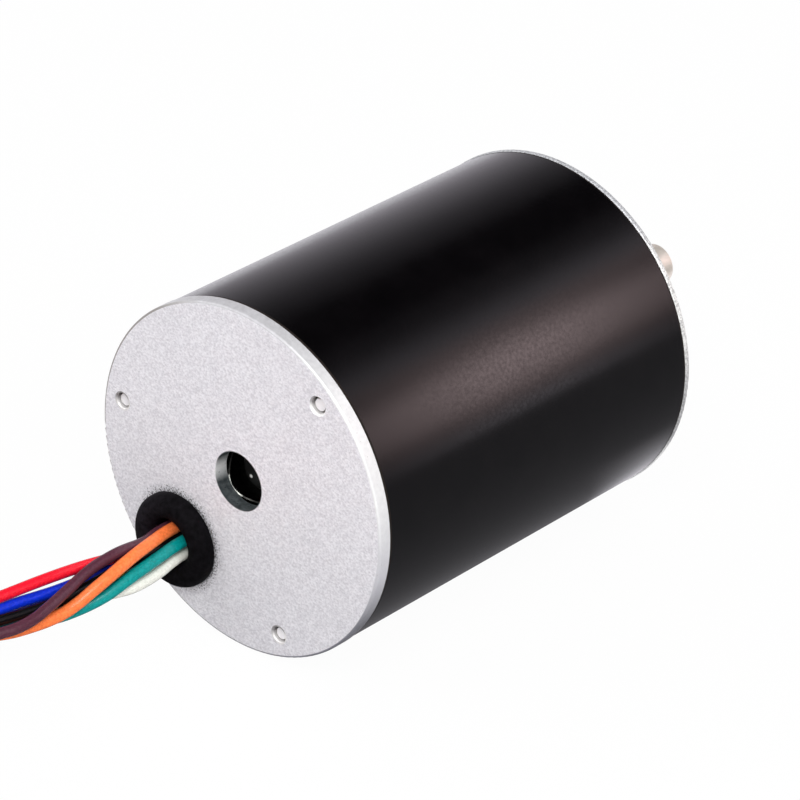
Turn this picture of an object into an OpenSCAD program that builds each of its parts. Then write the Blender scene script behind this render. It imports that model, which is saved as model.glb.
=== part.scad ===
// Brushless dc motor with an inner rotor, ball bearings, a position sensor board and free leads.
// The origin is the centre of the front mounting face, on the shaft's axis.
// +X points out along the shaft, and +Z points up from the surface that the motor lies on.

/* [Housing] */
// Outside diameter of both end caps
cap_d = 42; // [41:0.5:50]
// Length from the rear face to the front mounting face
body_length = 52.7; // [52.5:0.1:70]
// How far the tube's surface lies inside the edge of the caps
tube_recess = 0.1; // [0.1:0.05:0.5]
// Wall thickness of the tube
tube_wall = 1.2; // [0.8:0.1:1.3]
// Thickness of the rear cap's rim
rear_rim = 1.75; // [1.2:0.05:2.5]
// Thickness of the front cap's rim
front_rim = 0.75; // [0.7:0.05:1.5]
// Thickness of the rear cap's plate, with its register in the tube
rear_plate = 3.2; // [2.8:0.1:4]
// Thickness of the front cap's plate, with its register in the tube
front_plate = 4.5; // [4.3:0.1:4.9]
// Radial clearance between a cap's register and the tube
register_gap = 0.03; // [0.02:0.01:0.06]
// Radius on the edge between a cap's face and its rim
face_edge_r = 0.3; // [0.1:0.05:0.5]
// Chamfer on the edge of a rim that faces the tube
rim_chamfer = 0.15; // [0.05:0.05:0.2]
// Outside diameter of the bearing hub inside each cap
hub_d = 18; // [16.5:0.5:20]
// How far a hub reaches past its bearing
hub_lip = 0.2; // [0.1:0.05:0.4]

/* [Mounting face] */
// Diameter of the pilot boss
pilot_d = 22; // [18:0.5:24]
// Height of the pilot boss
pilot_h = 2; // [1:0.5:3]
// Chamfer on the pilot boss
pilot_chamfer = 0.3; // [0.1:0.05:0.5]
// Diameter of the circle of mounting holes
mount_pcd = 28; // [27:0.5:29]
// Tapping diameter of a mounting hole
mount_hole_d = 2.5; // [2:0.1:2.6]
// Depth of a mounting hole
mount_hole_depth = 4; // [3:0.1:4.2]
// Number of mounting holes
mount_count = 4; // [2:1:4]
// Angle of the first mounting hole, from +Y towards +Z
mount_angle = 45; // [45:90:45]
// Diameter of the shaft's hole in the front cap
front_hole_d = 8; // [6:0.5:10]

/* [Tie screws] */
// Distance from the edge of a cap to a tie screw's axis
screw_inset = 2.8; // [2.7:0.1:3]
// Diameter of a tie screw
screw_d = 2; // [1.6:0.1:2]
// Clearance on the diameter, where a tie screw passes through
screw_clearance = 0.2; // [0.1:0.05:0.3]
// Diameter of a tie screw's countersunk head
screw_head_d = 3.6; // [3:0.1:3.6]
// Depth of the rear end of a tie screw below the rear face
screw_end_depth = 0.45; // [0.4:0.05:1]
// Chamfer on the end of a tie screw
screw_end_chamfer = 0.28; // [0.1:0.02:0.4]
// Width of the slot in a tie screw's head
screw_slot_w = 0.5; // [0.4:0.05:0.8]
// Diameter of the countersink round a tie screw's hole in the rear face
rear_sink_d = 2.4; // [2.2:0.1:2.8]
// Angle of the first tie screw, from +Y towards +Z
screw_angle = 11.4; // [0:0.1:30]

/* [Bearings] */
// Outside diameter of a bearing
bearing_d = 13; // [12.5:0.1:14]
// Width of a bearing
bearing_w = 4; // [3.8:0.1:4.5]
// Diameter of the circle through the ball centres
ball_circle_d = 9; // [8.9:0.05:9.2]
// Diameter of a ball
ball_d = 1.98; // [1.8:0.02:2]
// Number of balls in a bearing
ball_count = 8; // [6:1:9]
// Radial clearance between a ball and its grooves
ball_gap = 0.07; // [0.05:0.01:0.09]
// Depth of a ball groove in a race, below the race's land
groove_depth = 0.15; // [0.12:0.01:0.2]
// Thickness of the cage in the radial direction
cage_wall = 0.6; // [0.4:0.05:0.8]
// Width of the cage
cage_w = 2.7; // [2.5:0.05:2.8]
// Thickness of a shield
shield_t = 0.25; // [0.15:0.05:0.3]
// Depth of a shield below the face of its bearing
shield_recess = 0.1; // [0.05:0.01:0.15]
// Radial gap between a shield and the inner race
shield_gap = 0.15; // [0.1:0.01:0.3]
// Thickness of the front cap between the pilot's face and the bearing
front_web = 3.5; // [3:0.1:4]
// Diameter of the centre hole in the rear face
rear_hole_d = 7; // [6:0.1:7.6]
// Thickness of the rear cap at the centre hole
rear_web = 1.75; // [1.5:0.05:2]
// Diameter of the relief behind the centre hole
relief_d = 8.6; // [8:0.1:10]
// Depth of the relief behind the centre hole
relief_depth = 0.35; // [0.2:0.05:0.5]

/* [Wave washer] */
// Inside diameter of the wave washer
washer_inner_d = 8; // [7.8:0.1:10]
// Gap between the wave washer's edge and the bearing seat
washer_side_gap = 0.2; // [0.1:0.05:0.4]
// Thickness of the wave washer's strip
washer_t = 0.35; // [0.2:0.05:0.4]
// Height of the wave washer as it is fitted
washer_h = 1.5; // [1.1:0.1:1.8]
// Number of waves
washer_waves = 3; // [2:1:4]
// Angle of a crest of the wave washer, from +Y towards +Z
washer_angle = -40; // [-60:1:60]

/* [Shaft and rotor] */
// Diameter of the shaft at its output end and its bearings
shaft_d = 5; // [4.5:0.1:5.2]
// How far the shaft stands out of the front mounting face
shaft_reach = 20.2; // [15:0.1:30]
// Depth of the shaft's rear end below the rear face
shaft_end_depth = 3.2; // [2.6:0.1:3.5]
// Diameter of the shaft between the bearings
shaft_body_d = 7; // [6.5:0.1:7.2]
// Diameter of the shaft's relief, from the front bearing to the pilot's face
shaft_relief_d = 4.6; // [4:0.1:4.6]
// Chamfer on the ends of the shaft
shaft_chamfer = 0.35; // [0.1:0.05:0.5]
// Thickness of a magnet
magnet_t = 2.4; // [1.5:0.1:2.8]
// Number of magnets
magnet_count = 8; // [4:2:8]
// Gap between neighbouring magnets at the core, in degrees
magnet_gap_angle = 2; // [1:0.5:5]
// How far the rotor reaches past the front of the stack
rotor_front_over = 1.2; // [0.5:0.1:2]
// Gap between the rotor and the sensors
sensor_gap = 1; // [0.8:0.1:1.5]

/* [Stator] */
// Space between the front of the lamination stack and the front mounting face
front_room = 9.7; // [9.7:0.1:12]
// Depth of the stack's rear face below the rear face of the motor
stack_depth = 17; // [16.8:0.1:17.2]
// Radial clearance between the stack and the tube
stack_gap = 0.02; // [0.01:0.01:0.05]
// Radial air gap between the rotor and the stack
air_gap = 0.5; // [0.4:0.05:1]
// Radial thickness of the stack outside the slots
back_iron = 2.8; // [2.7:0.05:3]
// Radial depth of a slot, from the back of the stack to the tooth tips
slot_depth = 5.23; // [5.13:0.05:6.23]
// Width of a tooth
tooth_w = 3.6; // [3:0.1:4]
// Radial thickness of a tooth's tip
tip_t = 1; // [0.8:0.1:1.2]
// Width of a slot's opening
slot_opening = 1.6; // [1.2:0.1:2]
// Number of teeth, which is also the number of coils
tooth_count = 9; // [9:3:9]
// Thickness of the insulation that lines a slot
liner_t = 0.3; // [0.2:0.05:0.4]
// Thickness of an insulator's end plate
insulator_t = 0.6; // [0.4:0.1:0.8]
// How far the coils reach past an insulator's end plate
end_turn = 3.2; // [2.5:0.1:3.2]
// Clearance between a coil and the insulation
coil_gap = 0.1; // [0.05:0.05:0.2]
// Gap between neighbouring coils
coil_spacing = 0.6; // [0.4:0.1:1]
// Radius on the corners of a coil
coil_corner_r = 2.6; // [1.5:0.1:2.8]

/* [Sensor board] */
// Depth of the board's rear face below the rear face of the motor
board_depth = 11; // [10:0.1:11.4]
// Thickness of the board
board_t = 1; // [0.8:0.1:1.2]
// Gap between the board's edge and the tie screws
board_edge_gap = 0.4; // [0.3:0.1:0.8]
// Distance from the rotor's edge to the edge of the board's centre hole
board_hole_inset = 3; // [2.5:0.1:4]
// Width of an ear of the board
ear_w = 3; // [2.6:0.1:3.4]
// Distance from the tube's bore to the axis of a board screw
board_screw_inset = 1.75; // [1.6:0.05:1.9]
// Diameter of a board screw
board_screw_d = 1.2; // [1:0.1:1.4]
// Diameter of a board screw's head
board_screw_head_d = 2.2; // [1.8:0.1:2.4]
// Height of a board screw's head
board_screw_head_h = 0.8; // [0.5:0.1:1]
// Diameter of a post that carries the board
post_d = 2.4; // [2.2:0.1:2.6]
// Size of a sensor: height on the board, width and radial length
sensor_size = [1.1, 2.9, 1.6];
// Angle between neighbouring sensors
sensor_pitch = 30; // [20:5:40]

/* [Grommet] */
// Distance from the edge of a cap to the grommet's axis
grommet_inset = 6.7; // [6.7:0.05:6.9]
// Outside diameter of the grommet's dome
grommet_d = 11.3; // [10:0.1:11.5]
// How far the dome stands out of the rear face
grommet_h = 2.2; // [1.8:0.1:2.6]
// Diameter of the grommet's hole
grommet_bore_d = 5.4; // [5.4:0.1:5.6]
// Diameter of the grommet's neck and of its hole in the rear cap
grommet_neck_d = 8.4; // [7.6:0.1:8.8]
// Diameter of the grommet's inner flange
grommet_flange_d = 10.2; // [9.4:0.1:10.4]
// Thickness of the grommet's inner flange
grommet_flange_t = 1.4; // [1:0.1:1.8]
// Clearance between the grommet's inner flange and the bearing hub
grommet_flange_gap = 0.1; // [0.05:0.05:0.2]

/* [Leads] */
// Diameter of a phase lead over its insulation
phase_lead_d = 1.45; // [1.2:0.05:1.45]
// Diameter of a sensor lead over its insulation
sensor_lead_d = 1.3; // [1:0.05:1.3]
// Diameter of the bundle of leads, where it is wound tight
bundle_d = 4.9; // [4.9:0.1:5.2]
// Radius of the middle of the coil's outer turn
coil_turn_r = 23.5; // [22:0.5:26]
// Distance between the coil's turns
coil_pitch = 5.1; // [5:0.1:5.3]
// Number of turns in the coil
coil_turns = 2; // [1:1:3]
// Thickness of the tie round the coil
tie_t = 0.6; // [0.4:0.1:0.8]
// Width of the tie
tie_w = 2.5; // [2:0.1:4]
// Clearance between the tie and the coil
tie_gap = 0.1; // [0.05:0.05:0.2]
// Side of the tie's square head
tie_head = 4.4; // [4:0.1:5]

/* [Hidden] */
bearing_pieces = ["outer_race", "inner_race", "balls", "cage", "inner_shield", "outer_shield"];
lead_names = ["orange", "green", "white", "yellow", "blue", "red", "purple", "black"];
$fn = 96;
over = 0.5;

// Axial places, along X
rear_x = -body_length;
pilot_x = pilot_h;
front_bearing_x = pilot_x - front_web - bearing_w;
washer_x = rear_x + rear_web + relief_depth;
rear_bearing_x = washer_x + washer_h;
board_x = rear_x + board_depth;
stack_rear_x = rear_x + stack_depth;
stack_front_x = -front_room;
stack_length = stack_front_x - stack_rear_x;
rotor_rear_x = board_x + board_t + sensor_size[0] + sensor_gap;
rotor_front_x = stack_front_x + rotor_front_over;

// Radii
cap_r = cap_d / 2;
tube_r = cap_r - tube_recess;
tube_bore_r = tube_r - tube_wall;
register_r = tube_bore_r - register_gap;
screw_circle_r = cap_r - screw_inset;
screw_pass_d = screw_d + screw_clearance;
stack_r = tube_bore_r - stack_gap;
slot_r = stack_r - back_iron;
tip_r = slot_r - slot_depth;
stack_bore_r = tip_r - tip_t;
rotor_r = stack_bore_r - air_gap;
core_r = rotor_r - magnet_t;
inner_land_r = (ball_circle_d - ball_d) / 2 - ball_gap + groove_depth;
outer_land_r = (ball_circle_d + ball_d) / 2 + ball_gap - groove_depth;
board_r = screw_circle_r - screw_d / 2 - board_edge_gap;
board_screw_r = tube_bore_r - board_screw_inset;
tooth_pitch = 360 / tooth_count;
ear_angle = screw_angle + tooth_pitch / 2;
grommet_r = cap_r - grommet_inset;
grommet_angle = screw_angle - 60;
grommet_y = grommet_r * cos(grommet_angle);
grommet_z = grommet_r * sin(grommet_angle);

// Tie screws, and ears of the board between them
screw_count = 3;
ear_screw_x = stack_rear_x - 2 * board_t;

// The bundle of leads goes from the board, through the grommet, and down to the coil.
// Its places are measured from the rear face and the grommet's axis: outwards, sideways and up.
bundle_route = [
    [-board_depth, 0, 0], [-4.7, 0, 0], [1.8, 0, 0], [4.8, 0, -0.2],
    [8.3, 0.4, -0.7], [12.3, 1.2, -1.1], [16.8, 2.3, -1.6], [21.8, 3.8, -2.3],
    [27.3, 5.5, -3.5], [33.3, 6.8, -5.3], [39.3, 8.6, -6.7], [45.3, 11.2, -7.1],
    [51.3, 14.2, -7.2], [57.2, 17, -7.2], [63, 18.7, -7.2]
];
// Each lead's place in the bundle, sideways and up: in the grommet, at the next six places, and in the coil
lead_places = [
    [[-0.32, 1.8], [-0.73, 1.96], [-1.13, 1.71], [-1.63, 0.7],
     [-1.46, -0.97], [-1.9, -0.5], [-1.03, 0.26], [-1.6, -0.8]],
    [[-1.72, 0.61], [-1.49, 0.19], [-1.48, -0.22], [-1.35, -1.29],
     [-0.34, -2], [0.17, -1.29], [-0.08, -1.14], [-0.4, -1.7]],
    [[-1.47, -1.22], [-1.35, -1.72], [-1.12, -1.87], [0.29, -1.92],
     [1.16, -2.15], [1.81, -1.67], [1.62, -1.4], [1.1, -1.4]],
    [[0.05, -1], [0.46, -1.04], [1.17, -1.47], [1.91, -1.63],
     [2.04, -0.99], [1.94, -0.22], [1.9, -0.01], [1.7, 0]],
    [[1.39, -1.38], [1.88, -1.05], [2.12, -0.47], [1.55, -0.14],
     [1.16, 0.36], [1.19, 0.91], [1.11, 1.16], [0, 0]],
    [[1.03, -0.08], [1.31, 0.18], [1.64, 0.8], [1.87, 1.37],
     [1.6, 1.99], [1.43, 2.29], [1.65, 2.53], [1.1, 1.4]],
    [[1, 1.29], [0.63, 1.42], [0.63, 1.97], [0.45, 1.56],
     [-1.04, 0.92], [-2.97, 0.72], [-2.48, 1.22], [-1.6, 0.8]],
    [[-0.25, 0.36], [-0.05, 0.25], [0.24, 0.18], [0.15, -0.16],
     [-0.18, -0.15], [-0.39, 0.41], [-0.25, 1.53], [-0.4, 1.7]]
];
phase_leads = 3;
lead_colors = [
    [0.95, 0.42, 0.2], [0.0, 0.5, 0.48], [0.87, 0.88, 0.83], [0.9, 0.75, 0.05],
    [0.0, 0.1, 0.7], [0.85, 0.1, 0.15], [0.3, 0.15, 0.25], [0.06, 0.06, 0.08]
];
lead_sides = 8;
rings_per_place = 2;

// The coil's height, and how far beyond the leads' last place its axis is
coil_z = -cap_r + tie_t + tie_gap + bundle_d / 2;
coil_lead_in = 6;

// A cylinder along X from one place to another
module rod(d, from, to) {
    translate([from, 0, 0]) rotate([0, 90, 0]) cylinder(d = d, h = to - from);
}

// A ring along X with flat ends
module ring(outer_d, inner_d, from, to) {
    difference() {
        rod(outer_d, from, to);
        rod(inner_d, from - over, to + over);
    }
}

// A cone along X
module taper(from_d, to_d, from, to) {
    translate([from, 0, 0]) rotate([0, 90, 0]) cylinder(d1 = from_d, d2 = to_d, h = to - from);
}

// Turns a flat outline, drawn with its radius along X and its place along Y, about the motor's axis
module turned() {
    rotate([0, 90, 0]) rotate_extrude() children();
}

// Sets children, drawn on the axis, at a radius and an angle from +Y towards +Z
module placed(radius, angle) {
    rotate([angle, 0, 0]) translate([0, radius, 0]) children();
}

// Copies of children set on a circle, the first one at an angle
module around(count, radius, first = 0) {
    for (i = [0:count - 1]) placed(radius, first + i * 360 / count) children();
}

// Extrudes an outline, drawn as Y and Z, along X
module along(from, to) {
    translate([from, 0, 0]) rotate([90, 0, 90]) linear_extrude(height = to - from) children();
}

// A cap's rim in outline, from its round outer edge to the chamfer beside the tube
module rim_outline(face, into, thickness) {
    inner = face + into * thickness;
    polygon([
        [0, face],
        [cap_r - face_edge_r, face],
        [cap_r - face_edge_r, face + into * face_edge_r],
        [cap_r, face + into * face_edge_r],
        [cap_r, inner - into * rim_chamfer],
        [cap_r - rim_chamfer, inner],
        [0, inner]
    ]);
    translate([cap_r - face_edge_r, face + into * face_edge_r]) circle(r = face_edge_r);
}

module housing_tube() {
    color([0.06, 0.06, 0.07])
        ring(2 * tube_r, 2 * tube_bore_r, rear_x + rear_rim, -front_rim);
}

module rear_cap() {
    color([0.84, 0.84, 0.86]) difference() {
        union() {
            turned() rim_outline(rear_x, 1, rear_rim);
            rod(2 * register_r, rear_x + over, rear_x + rear_plate);
            rod(hub_d, rear_x + over, rear_bearing_x + bearing_w + hub_lip);
        }
        rod(rear_hole_d, rear_x - over, washer_x + over);
        rod(relief_d, rear_x + rear_web, washer_x + over);
        rod(bearing_d, washer_x, rear_bearing_x + bearing_w + hub_lip + over);
        around(screw_count, screw_circle_r, screw_angle) {
            rod(screw_d, rear_x - over, rear_x + rear_plate + over);
            taper(rear_sink_d, screw_d, rear_x, rear_x + (rear_sink_d - screw_d) / 2);
        }
        placed(grommet_r, grommet_angle) {
            rod(grommet_neck_d, rear_x - over, rear_x + rear_plate + over);
            rod(
                grommet_flange_d + 2 * grommet_flange_gap,
                rear_x + rear_plate,
                rear_x + rear_plate + grommet_flange_t + grommet_flange_gap
            );
        }
    }
}

module front_cap() {
    color([0.84, 0.84, 0.86]) difference() {
        union() {
            turned() rim_outline(0, -1, front_rim);
            rod(2 * register_r, -front_plate, -front_rim / 2);
            rod(hub_d, front_bearing_x - hub_lip, -front_rim / 2);
            turned() polygon([
                [0, -front_rim / 2],
                [pilot_d / 2, -front_rim / 2],
                [pilot_d / 2, pilot_x - pilot_chamfer],
                [pilot_d / 2 - pilot_chamfer, pilot_x],
                [0, pilot_x]
            ]);
        }
        rod(front_hole_d, -front_plate, pilot_x + over);
        rod(bearing_d, front_bearing_x - hub_lip - over, front_bearing_x + bearing_w);
        around(mount_count, mount_pcd / 2, mount_angle) rod(mount_hole_d, -mount_hole_depth, over);
        around(screw_count, screw_circle_r, screw_angle) {
            rod(screw_pass_d, -front_plate - over, over);
            taper(screw_pass_d, screw_head_d, (screw_pass_d - screw_head_d) / 2, 0);
        }
    }
}

module tie_screws() {
    head_h = (screw_head_d - screw_d) / 2;
    end_x = rear_x + screw_end_depth;
    color([0.75, 0.75, 0.78]) around(screw_count, screw_circle_r, screw_angle) difference() {
        turned() polygon([
            [0, end_x],
            [screw_d / 2 - screw_end_chamfer, end_x],
            [screw_d / 2, end_x + screw_end_chamfer],
            [screw_d / 2, -head_h],
            [screw_head_d / 2, 0],
            [0, 0]
        ]);
        translate([-head_h / 2, -screw_slot_w / 2, -screw_head_d])
            cube([head_h, screw_slot_w, 2 * screw_head_d]);
    }
}

module grommet() {
    bore_r = grommet_bore_d / 2;
    dome_r = (grommet_d / 2 - bore_r) / 2;
    straight = grommet_h - dome_r;
    color([0.05, 0.05, 0.055]) placed(grommet_r, grommet_angle) turned() {
        intersection() {
            translate([bore_r + dome_r, rear_x - straight]) circle(r = dome_r);
            translate([bore_r, rear_x - grommet_h]) square([2 * dome_r, grommet_h]);
        }
        translate([bore_r, rear_x - straight]) square([2 * dome_r, straight]);
        translate([bore_r, rear_x - straight])
            square([grommet_neck_d / 2 - bore_r, straight + rear_plate + grommet_flange_t]);
        translate([bore_r, rear_x + rear_plate])
            square([grommet_flange_d / 2 - bore_r, grommet_flange_t]);
    }
}

// The stack's outline, with its slots narrowed by a lining of some thickness
module stack_outline(lining) {
    tip_span = asin((slot_opening / 2 - lining) / (stack_bore_r + tip_t));
    difference() {
        circle(r = stack_r);
        difference() {
            circle(r = slot_r - lining);
            for (i = [0:tooth_count - 1]) rotate(screw_angle + i * tooth_pitch) {
                translate([0, -tooth_w / 2 - lining]) square([slot_r, tooth_w + 2 * lining]);
                intersection() {
                    circle(r = tip_r + lining);
                    tip_wedge(tooth_pitch / 2 - tip_span);
                }
            }
        }
        circle(r = stack_bore_r);
        for (i = [0:screw_count - 1]) rotate(screw_angle + i * 360 / screw_count) {
            translate([screw_circle_r, 0]) circle(d = screw_pass_d);
            translate([screw_circle_r, -screw_pass_d / 2]) square([2 * screw_inset, screw_pass_d]);
        }
    }
}

// A triangle from the axis past the tooth tips, with half its angle on each side of +X
module tip_wedge(half_angle) {
    side_x = 2 * tip_r * cos(half_angle);
    side_y = 2 * tip_r * sin(half_angle);
    polygon([[0, 0], [side_x, side_y], [side_x, -side_y]]);
}

module stator_core() {
    color([0.35, 0.35, 0.38]) along(stack_rear_x, stack_front_x) stack_outline(0);
}

// One end's insulator: its end plate, its slot lining and the two walls that hold the coils' ends
module insulator(face, away) {
    plate_end = face + away * insulator_t;
    wall_root = face + away * insulator_t / 2;
    wall_end = plate_end + away * (end_turn - coil_gap);
    lining_end = face - away * (stack_length / 2 - coil_gap);
    along(min(face, plate_end), max(face, plate_end)) stack_outline(liner_t);
    along(min(face, lining_end), max(face, lining_end)) difference() {
        intersection() {
            stack_outline(liner_t);
            circle(r = slot_r);
        }
        stack_outline(0);
    }
    for (i = [0:tooth_count - 1]) rotate([screw_angle + i * tooth_pitch, 0, 0])
        along(min(wall_root, wall_end), max(wall_root, wall_end)) intersection() {
            difference() {
                circle(r = tip_r + liner_t);
                circle(r = tip_r - liner_t);
            }
            translate([0, -tooth_w / 2]) square([tip_r + over, tooth_w]);
        }
}

module front_insulator() {
    color([0.9, 0.88, 0.8]) insulator(stack_front_x, 1);
}

module rear_insulator() {
    color([0.9, 0.88, 0.8]) {
        insulator(stack_rear_x, -1);
        around(screw_count, board_screw_r, ear_angle) difference() {
            rod(post_d, board_x + board_t, stack_rear_x);
            rod(board_screw_d, board_x, ear_screw_x);
        }
    }
}

// A rounded rectangle on the XY plane, centred on the origin
module rounded(length, width, r) {
    square([length - 2 * r, width], center = true);
    square([length, width - 2 * r], center = true);
    for (x = [-1, 1]) for (y = [-1, 1])
        translate([x * (length / 2 - r), y * (width / 2 - r)]) circle(r = r);
}

// Half the width that a coil may fill at a radius
function coil_half(r) = r * tan(tooth_pitch / 2) - coil_spacing / 2;

// One coil, round the tooth of that number
module coil(number) {
    inner = tip_r + liner_t + coil_gap;
    outer = slot_r - liner_t - coil_gap;
    inner_half = coil_half(inner);
    outer_half = coil_half(outer);
    window_w = tooth_w + 2 * (liner_t + coil_gap);
    window_l = stack_length + 2 * (insulator_t + coil_gap);
    coil_l = window_l + 2 * (end_turn - coil_gap);
    middle = (stack_rear_x + stack_front_x) / 2;
    color([0.72, 0.38, 0.16]) rotate([screw_angle + (number - 1) * tooth_pitch, 0, 0]) intersection() {
        translate([middle, inner, 0]) rotate([-90, 0, 0]) linear_extrude(height = outer - inner)
            difference() {
                rounded(coil_l, 2 * outer_half, coil_corner_r);
                rounded(window_l, window_w, coil_gap);
            }
        along(middle - coil_l, middle + coil_l) intersection() {
            circle(r = outer);
            polygon([[inner, -inner_half], [inner, inner_half], [outer, outer_half], [outer, -outer_half]]);
        }
    }
}

module sensor_board() {
    color([0.05, 0.3, 0.18]) difference() {
        union() {
            rod(2 * board_r, board_x, board_x + board_t);
            around(screw_count, 0, ear_angle) translate([board_x, 0, -ear_w / 2])
                cube([board_t, board_screw_r, ear_w]);
            around(screw_count, board_screw_r, ear_angle) rod(ear_w, board_x, board_x + board_t);
        }
        rod(2 * (rotor_r - board_hole_inset), board_x - over, board_x + board_t + over);
        around(screw_count, board_screw_r, ear_angle)
            rod(board_screw_d, board_x - over, board_x + board_t + over);
    }
}

module board_screws() {
    color([0.75, 0.75, 0.78]) around(screw_count, board_screw_r, ear_angle) {
        rod(board_screw_head_d, board_x - board_screw_head_h, board_x);
        rod(board_screw_d, board_x, ear_screw_x);
    }
}

// One position sensor, on the board's rotor side. The middle one is halfway between two ears.
module hall_sensor(number) {
    angle = ear_angle + 180 / screw_count + (number - 2) * sensor_pitch;
    color([0.08, 0.08, 0.09]) placed(rotor_r - magnet_t / 2, angle)
        translate([board_x + board_t, -sensor_size[2] / 2, -sensor_size[1] / 2])
            cube([sensor_size[0], sensor_size[2], sensor_size[1]]);
}

module shaft() {
    end_x = rear_x + shaft_end_depth;
    end_r = shaft_d / 2 - shaft_chamfer;
    color([0.78, 0.77, 0.76]) turned() polygon([
        [0, end_x],
        [end_r, end_x],
        [shaft_d / 2, end_x + shaft_chamfer],
        [shaft_d / 2, rear_bearing_x + bearing_w],
        [shaft_body_d / 2, rear_bearing_x + bearing_w],
        [shaft_body_d / 2, front_bearing_x],
        [shaft_d / 2, front_bearing_x],
        [shaft_d / 2, front_bearing_x + bearing_w],
        [shaft_relief_d / 2, front_bearing_x + bearing_w],
        [shaft_relief_d / 2, pilot_x],
        [shaft_d / 2, pilot_x],
        [shaft_d / 2, shaft_reach - shaft_chamfer],
        [end_r, shaft_reach],
        [0, shaft_reach]
    ]);
}

module rotor_core() {
    color([0.4, 0.4, 0.43]) ring(2 * core_r, shaft_body_d, rotor_rear_x, rotor_front_x);
}

// One magnet on the core
module magnet(number) {
    half = 180 / magnet_count - magnet_gap_angle / 2;
    reach = 2 * rotor_r;
    color([0.3, 0.3, 0.33]) rotate([(number - 1) * 360 / magnet_count, 0, 0])
        along(rotor_rear_x, rotor_front_x) intersection() {
            difference() {
                circle(r = rotor_r);
                circle(r = core_r);
            }
            polygon([[0, 0], reach * [cos(half), sin(half)], reach * [cos(half), -sin(half)]]);
        }
}

// The groove that the balls run in, as a solid ring
module ball_groove(x) {
    translate([x + bearing_w / 2, 0, 0]) rotate([0, 90, 0]) rotate_extrude()
        translate([ball_circle_d / 2, 0]) circle(r = ball_d / 2 + ball_gap);
}

// One of the six pieces of a bearing whose rear face is at x. Away is the way out of the motor.
module bearing_piece(piece, x, away) {
    middle = x + bearing_w / 2;
    outer_face = middle + away * bearing_w / 2;
    inner_face = middle - away * bearing_w / 2;
    if (piece == "outer_race") color([0.8, 0.8, 0.82]) difference() {
        ring(bearing_d, 2 * outer_land_r, x, x + bearing_w);
        ball_groove(x);
    }
    if (piece == "inner_race") color([0.8, 0.8, 0.82]) difference() {
        ring(2 * inner_land_r, shaft_d, x, x + bearing_w);
        ball_groove(x);
    }
    if (piece == "balls") color([0.85, 0.85, 0.88]) around(ball_count, ball_circle_d / 2)
        translate([middle, 0, 0]) sphere(d = ball_d);
    if (piece == "cage") color([0.82, 0.66, 0.3]) difference() {
        translate([middle, 0, 0])
            ring(ball_circle_d + cage_wall, ball_circle_d - cage_wall, -cage_w / 2, cage_w / 2);
        around(ball_count, ball_circle_d / 2) translate([middle, 0, 0]) rotate([90, 0, 0])
            cylinder(d = ball_d + 2 * ball_gap, h = 2 * cage_wall, center = true);
    }
    if (piece == "outer_shield") shield(outer_face, -away);
    if (piece == "inner_shield") shield(inner_face, away);
}

// A bearing's shield, below the face that it closes
module shield(face, into) {
    near = face + into * shield_recess;
    far = near + into * shield_t;
    color([0.7, 0.7, 0.72])
        ring(2 * outer_land_r, 2 * (inner_land_r + shield_gap), min(near, far), max(near, far));
}

// The wave washer, as a strip whose height follows a cosine round the axis
module wave_washer() {
    steps = $fn;
    lift = (washer_h - washer_t) / 2;
    inner = washer_inner_d / 2;
    outer = bearing_d / 2 - washer_side_gap;
    section = [[inner, 0], [outer, 0], [outer, washer_t], [inner, washer_t]];
    function wave(a) = washer_x + lift - lift * cos(washer_waves * (a - washer_angle));
    function corner(a, c) = [wave(a) + c[1], c[0] * cos(a), c[0] * sin(a)];
    function place(i, k) = 4 * (i % steps) + k % 4;
    points = [for (i = [0:steps - 1]) for (c = section) corner(i * 360 / steps, c)];
    faces = [
        for (i = [0:steps - 1]) for (k = [0:3])
            [place(i, k), place(i, k + 1), place(i + 1, k + 1), place(i + 1, k)]
    ];
    color([0.6, 0.6, 0.62]) polyhedron(points = points, faces = faces);
}

// A smooth curve through points, where a whole number is a point's own number
function curve(p, u) =
    let (
        i = min(floor(u), len(p) - 2),
        t = u - i,
        a = p[max(i - 1, 0)],
        b = p[i],
        c = p[i + 1],
        d = p[min(i + 2, len(p) - 1)]
    )
    b + t * ((c - a) / 2 + t * (a - 2.5 * b + 2 * c - d / 2 + t * (1.5 * (b - c) + (d - a) / 2)));

function unit(v) = v / norm(v);
function sideways(t) = unit(cross(t, [0, 0, 1]));

// A place of the bundle, with its drop fitted to the grommet and the coil
function station(i) =
    let (p = bundle_route[i], drop = (coil_z - grommet_z) / bundle_route[len(bundle_route) - 1][2])
    [rear_x - p[0], grommet_y + p[1], grommet_z + p[2] * drop];

// One lead's curve: the bundle's place, and the lead's place in the bundle
function lead_curve(number) = [
    for (i = [0:len(bundle_route) - 1])
        concat(station(i), lead_places[number][max(0, min(i - 2, len(lead_places[number]) - 1))])
];

// The middle of a lead at a place on its curve
function lead_point(path, u) =
    let (
        c = curve(path, u),
        ahead = curve(path, min(u + 0.01, len(path) - 1)) - curve(path, max(u - 0.01, 0)),
        t = unit([ahead[0], ahead[1], ahead[2]]),
        s = sideways(t)
    )
    [c[0], c[1], c[2]] + c[3] * s + c[4] * cross(s, t);

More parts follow.
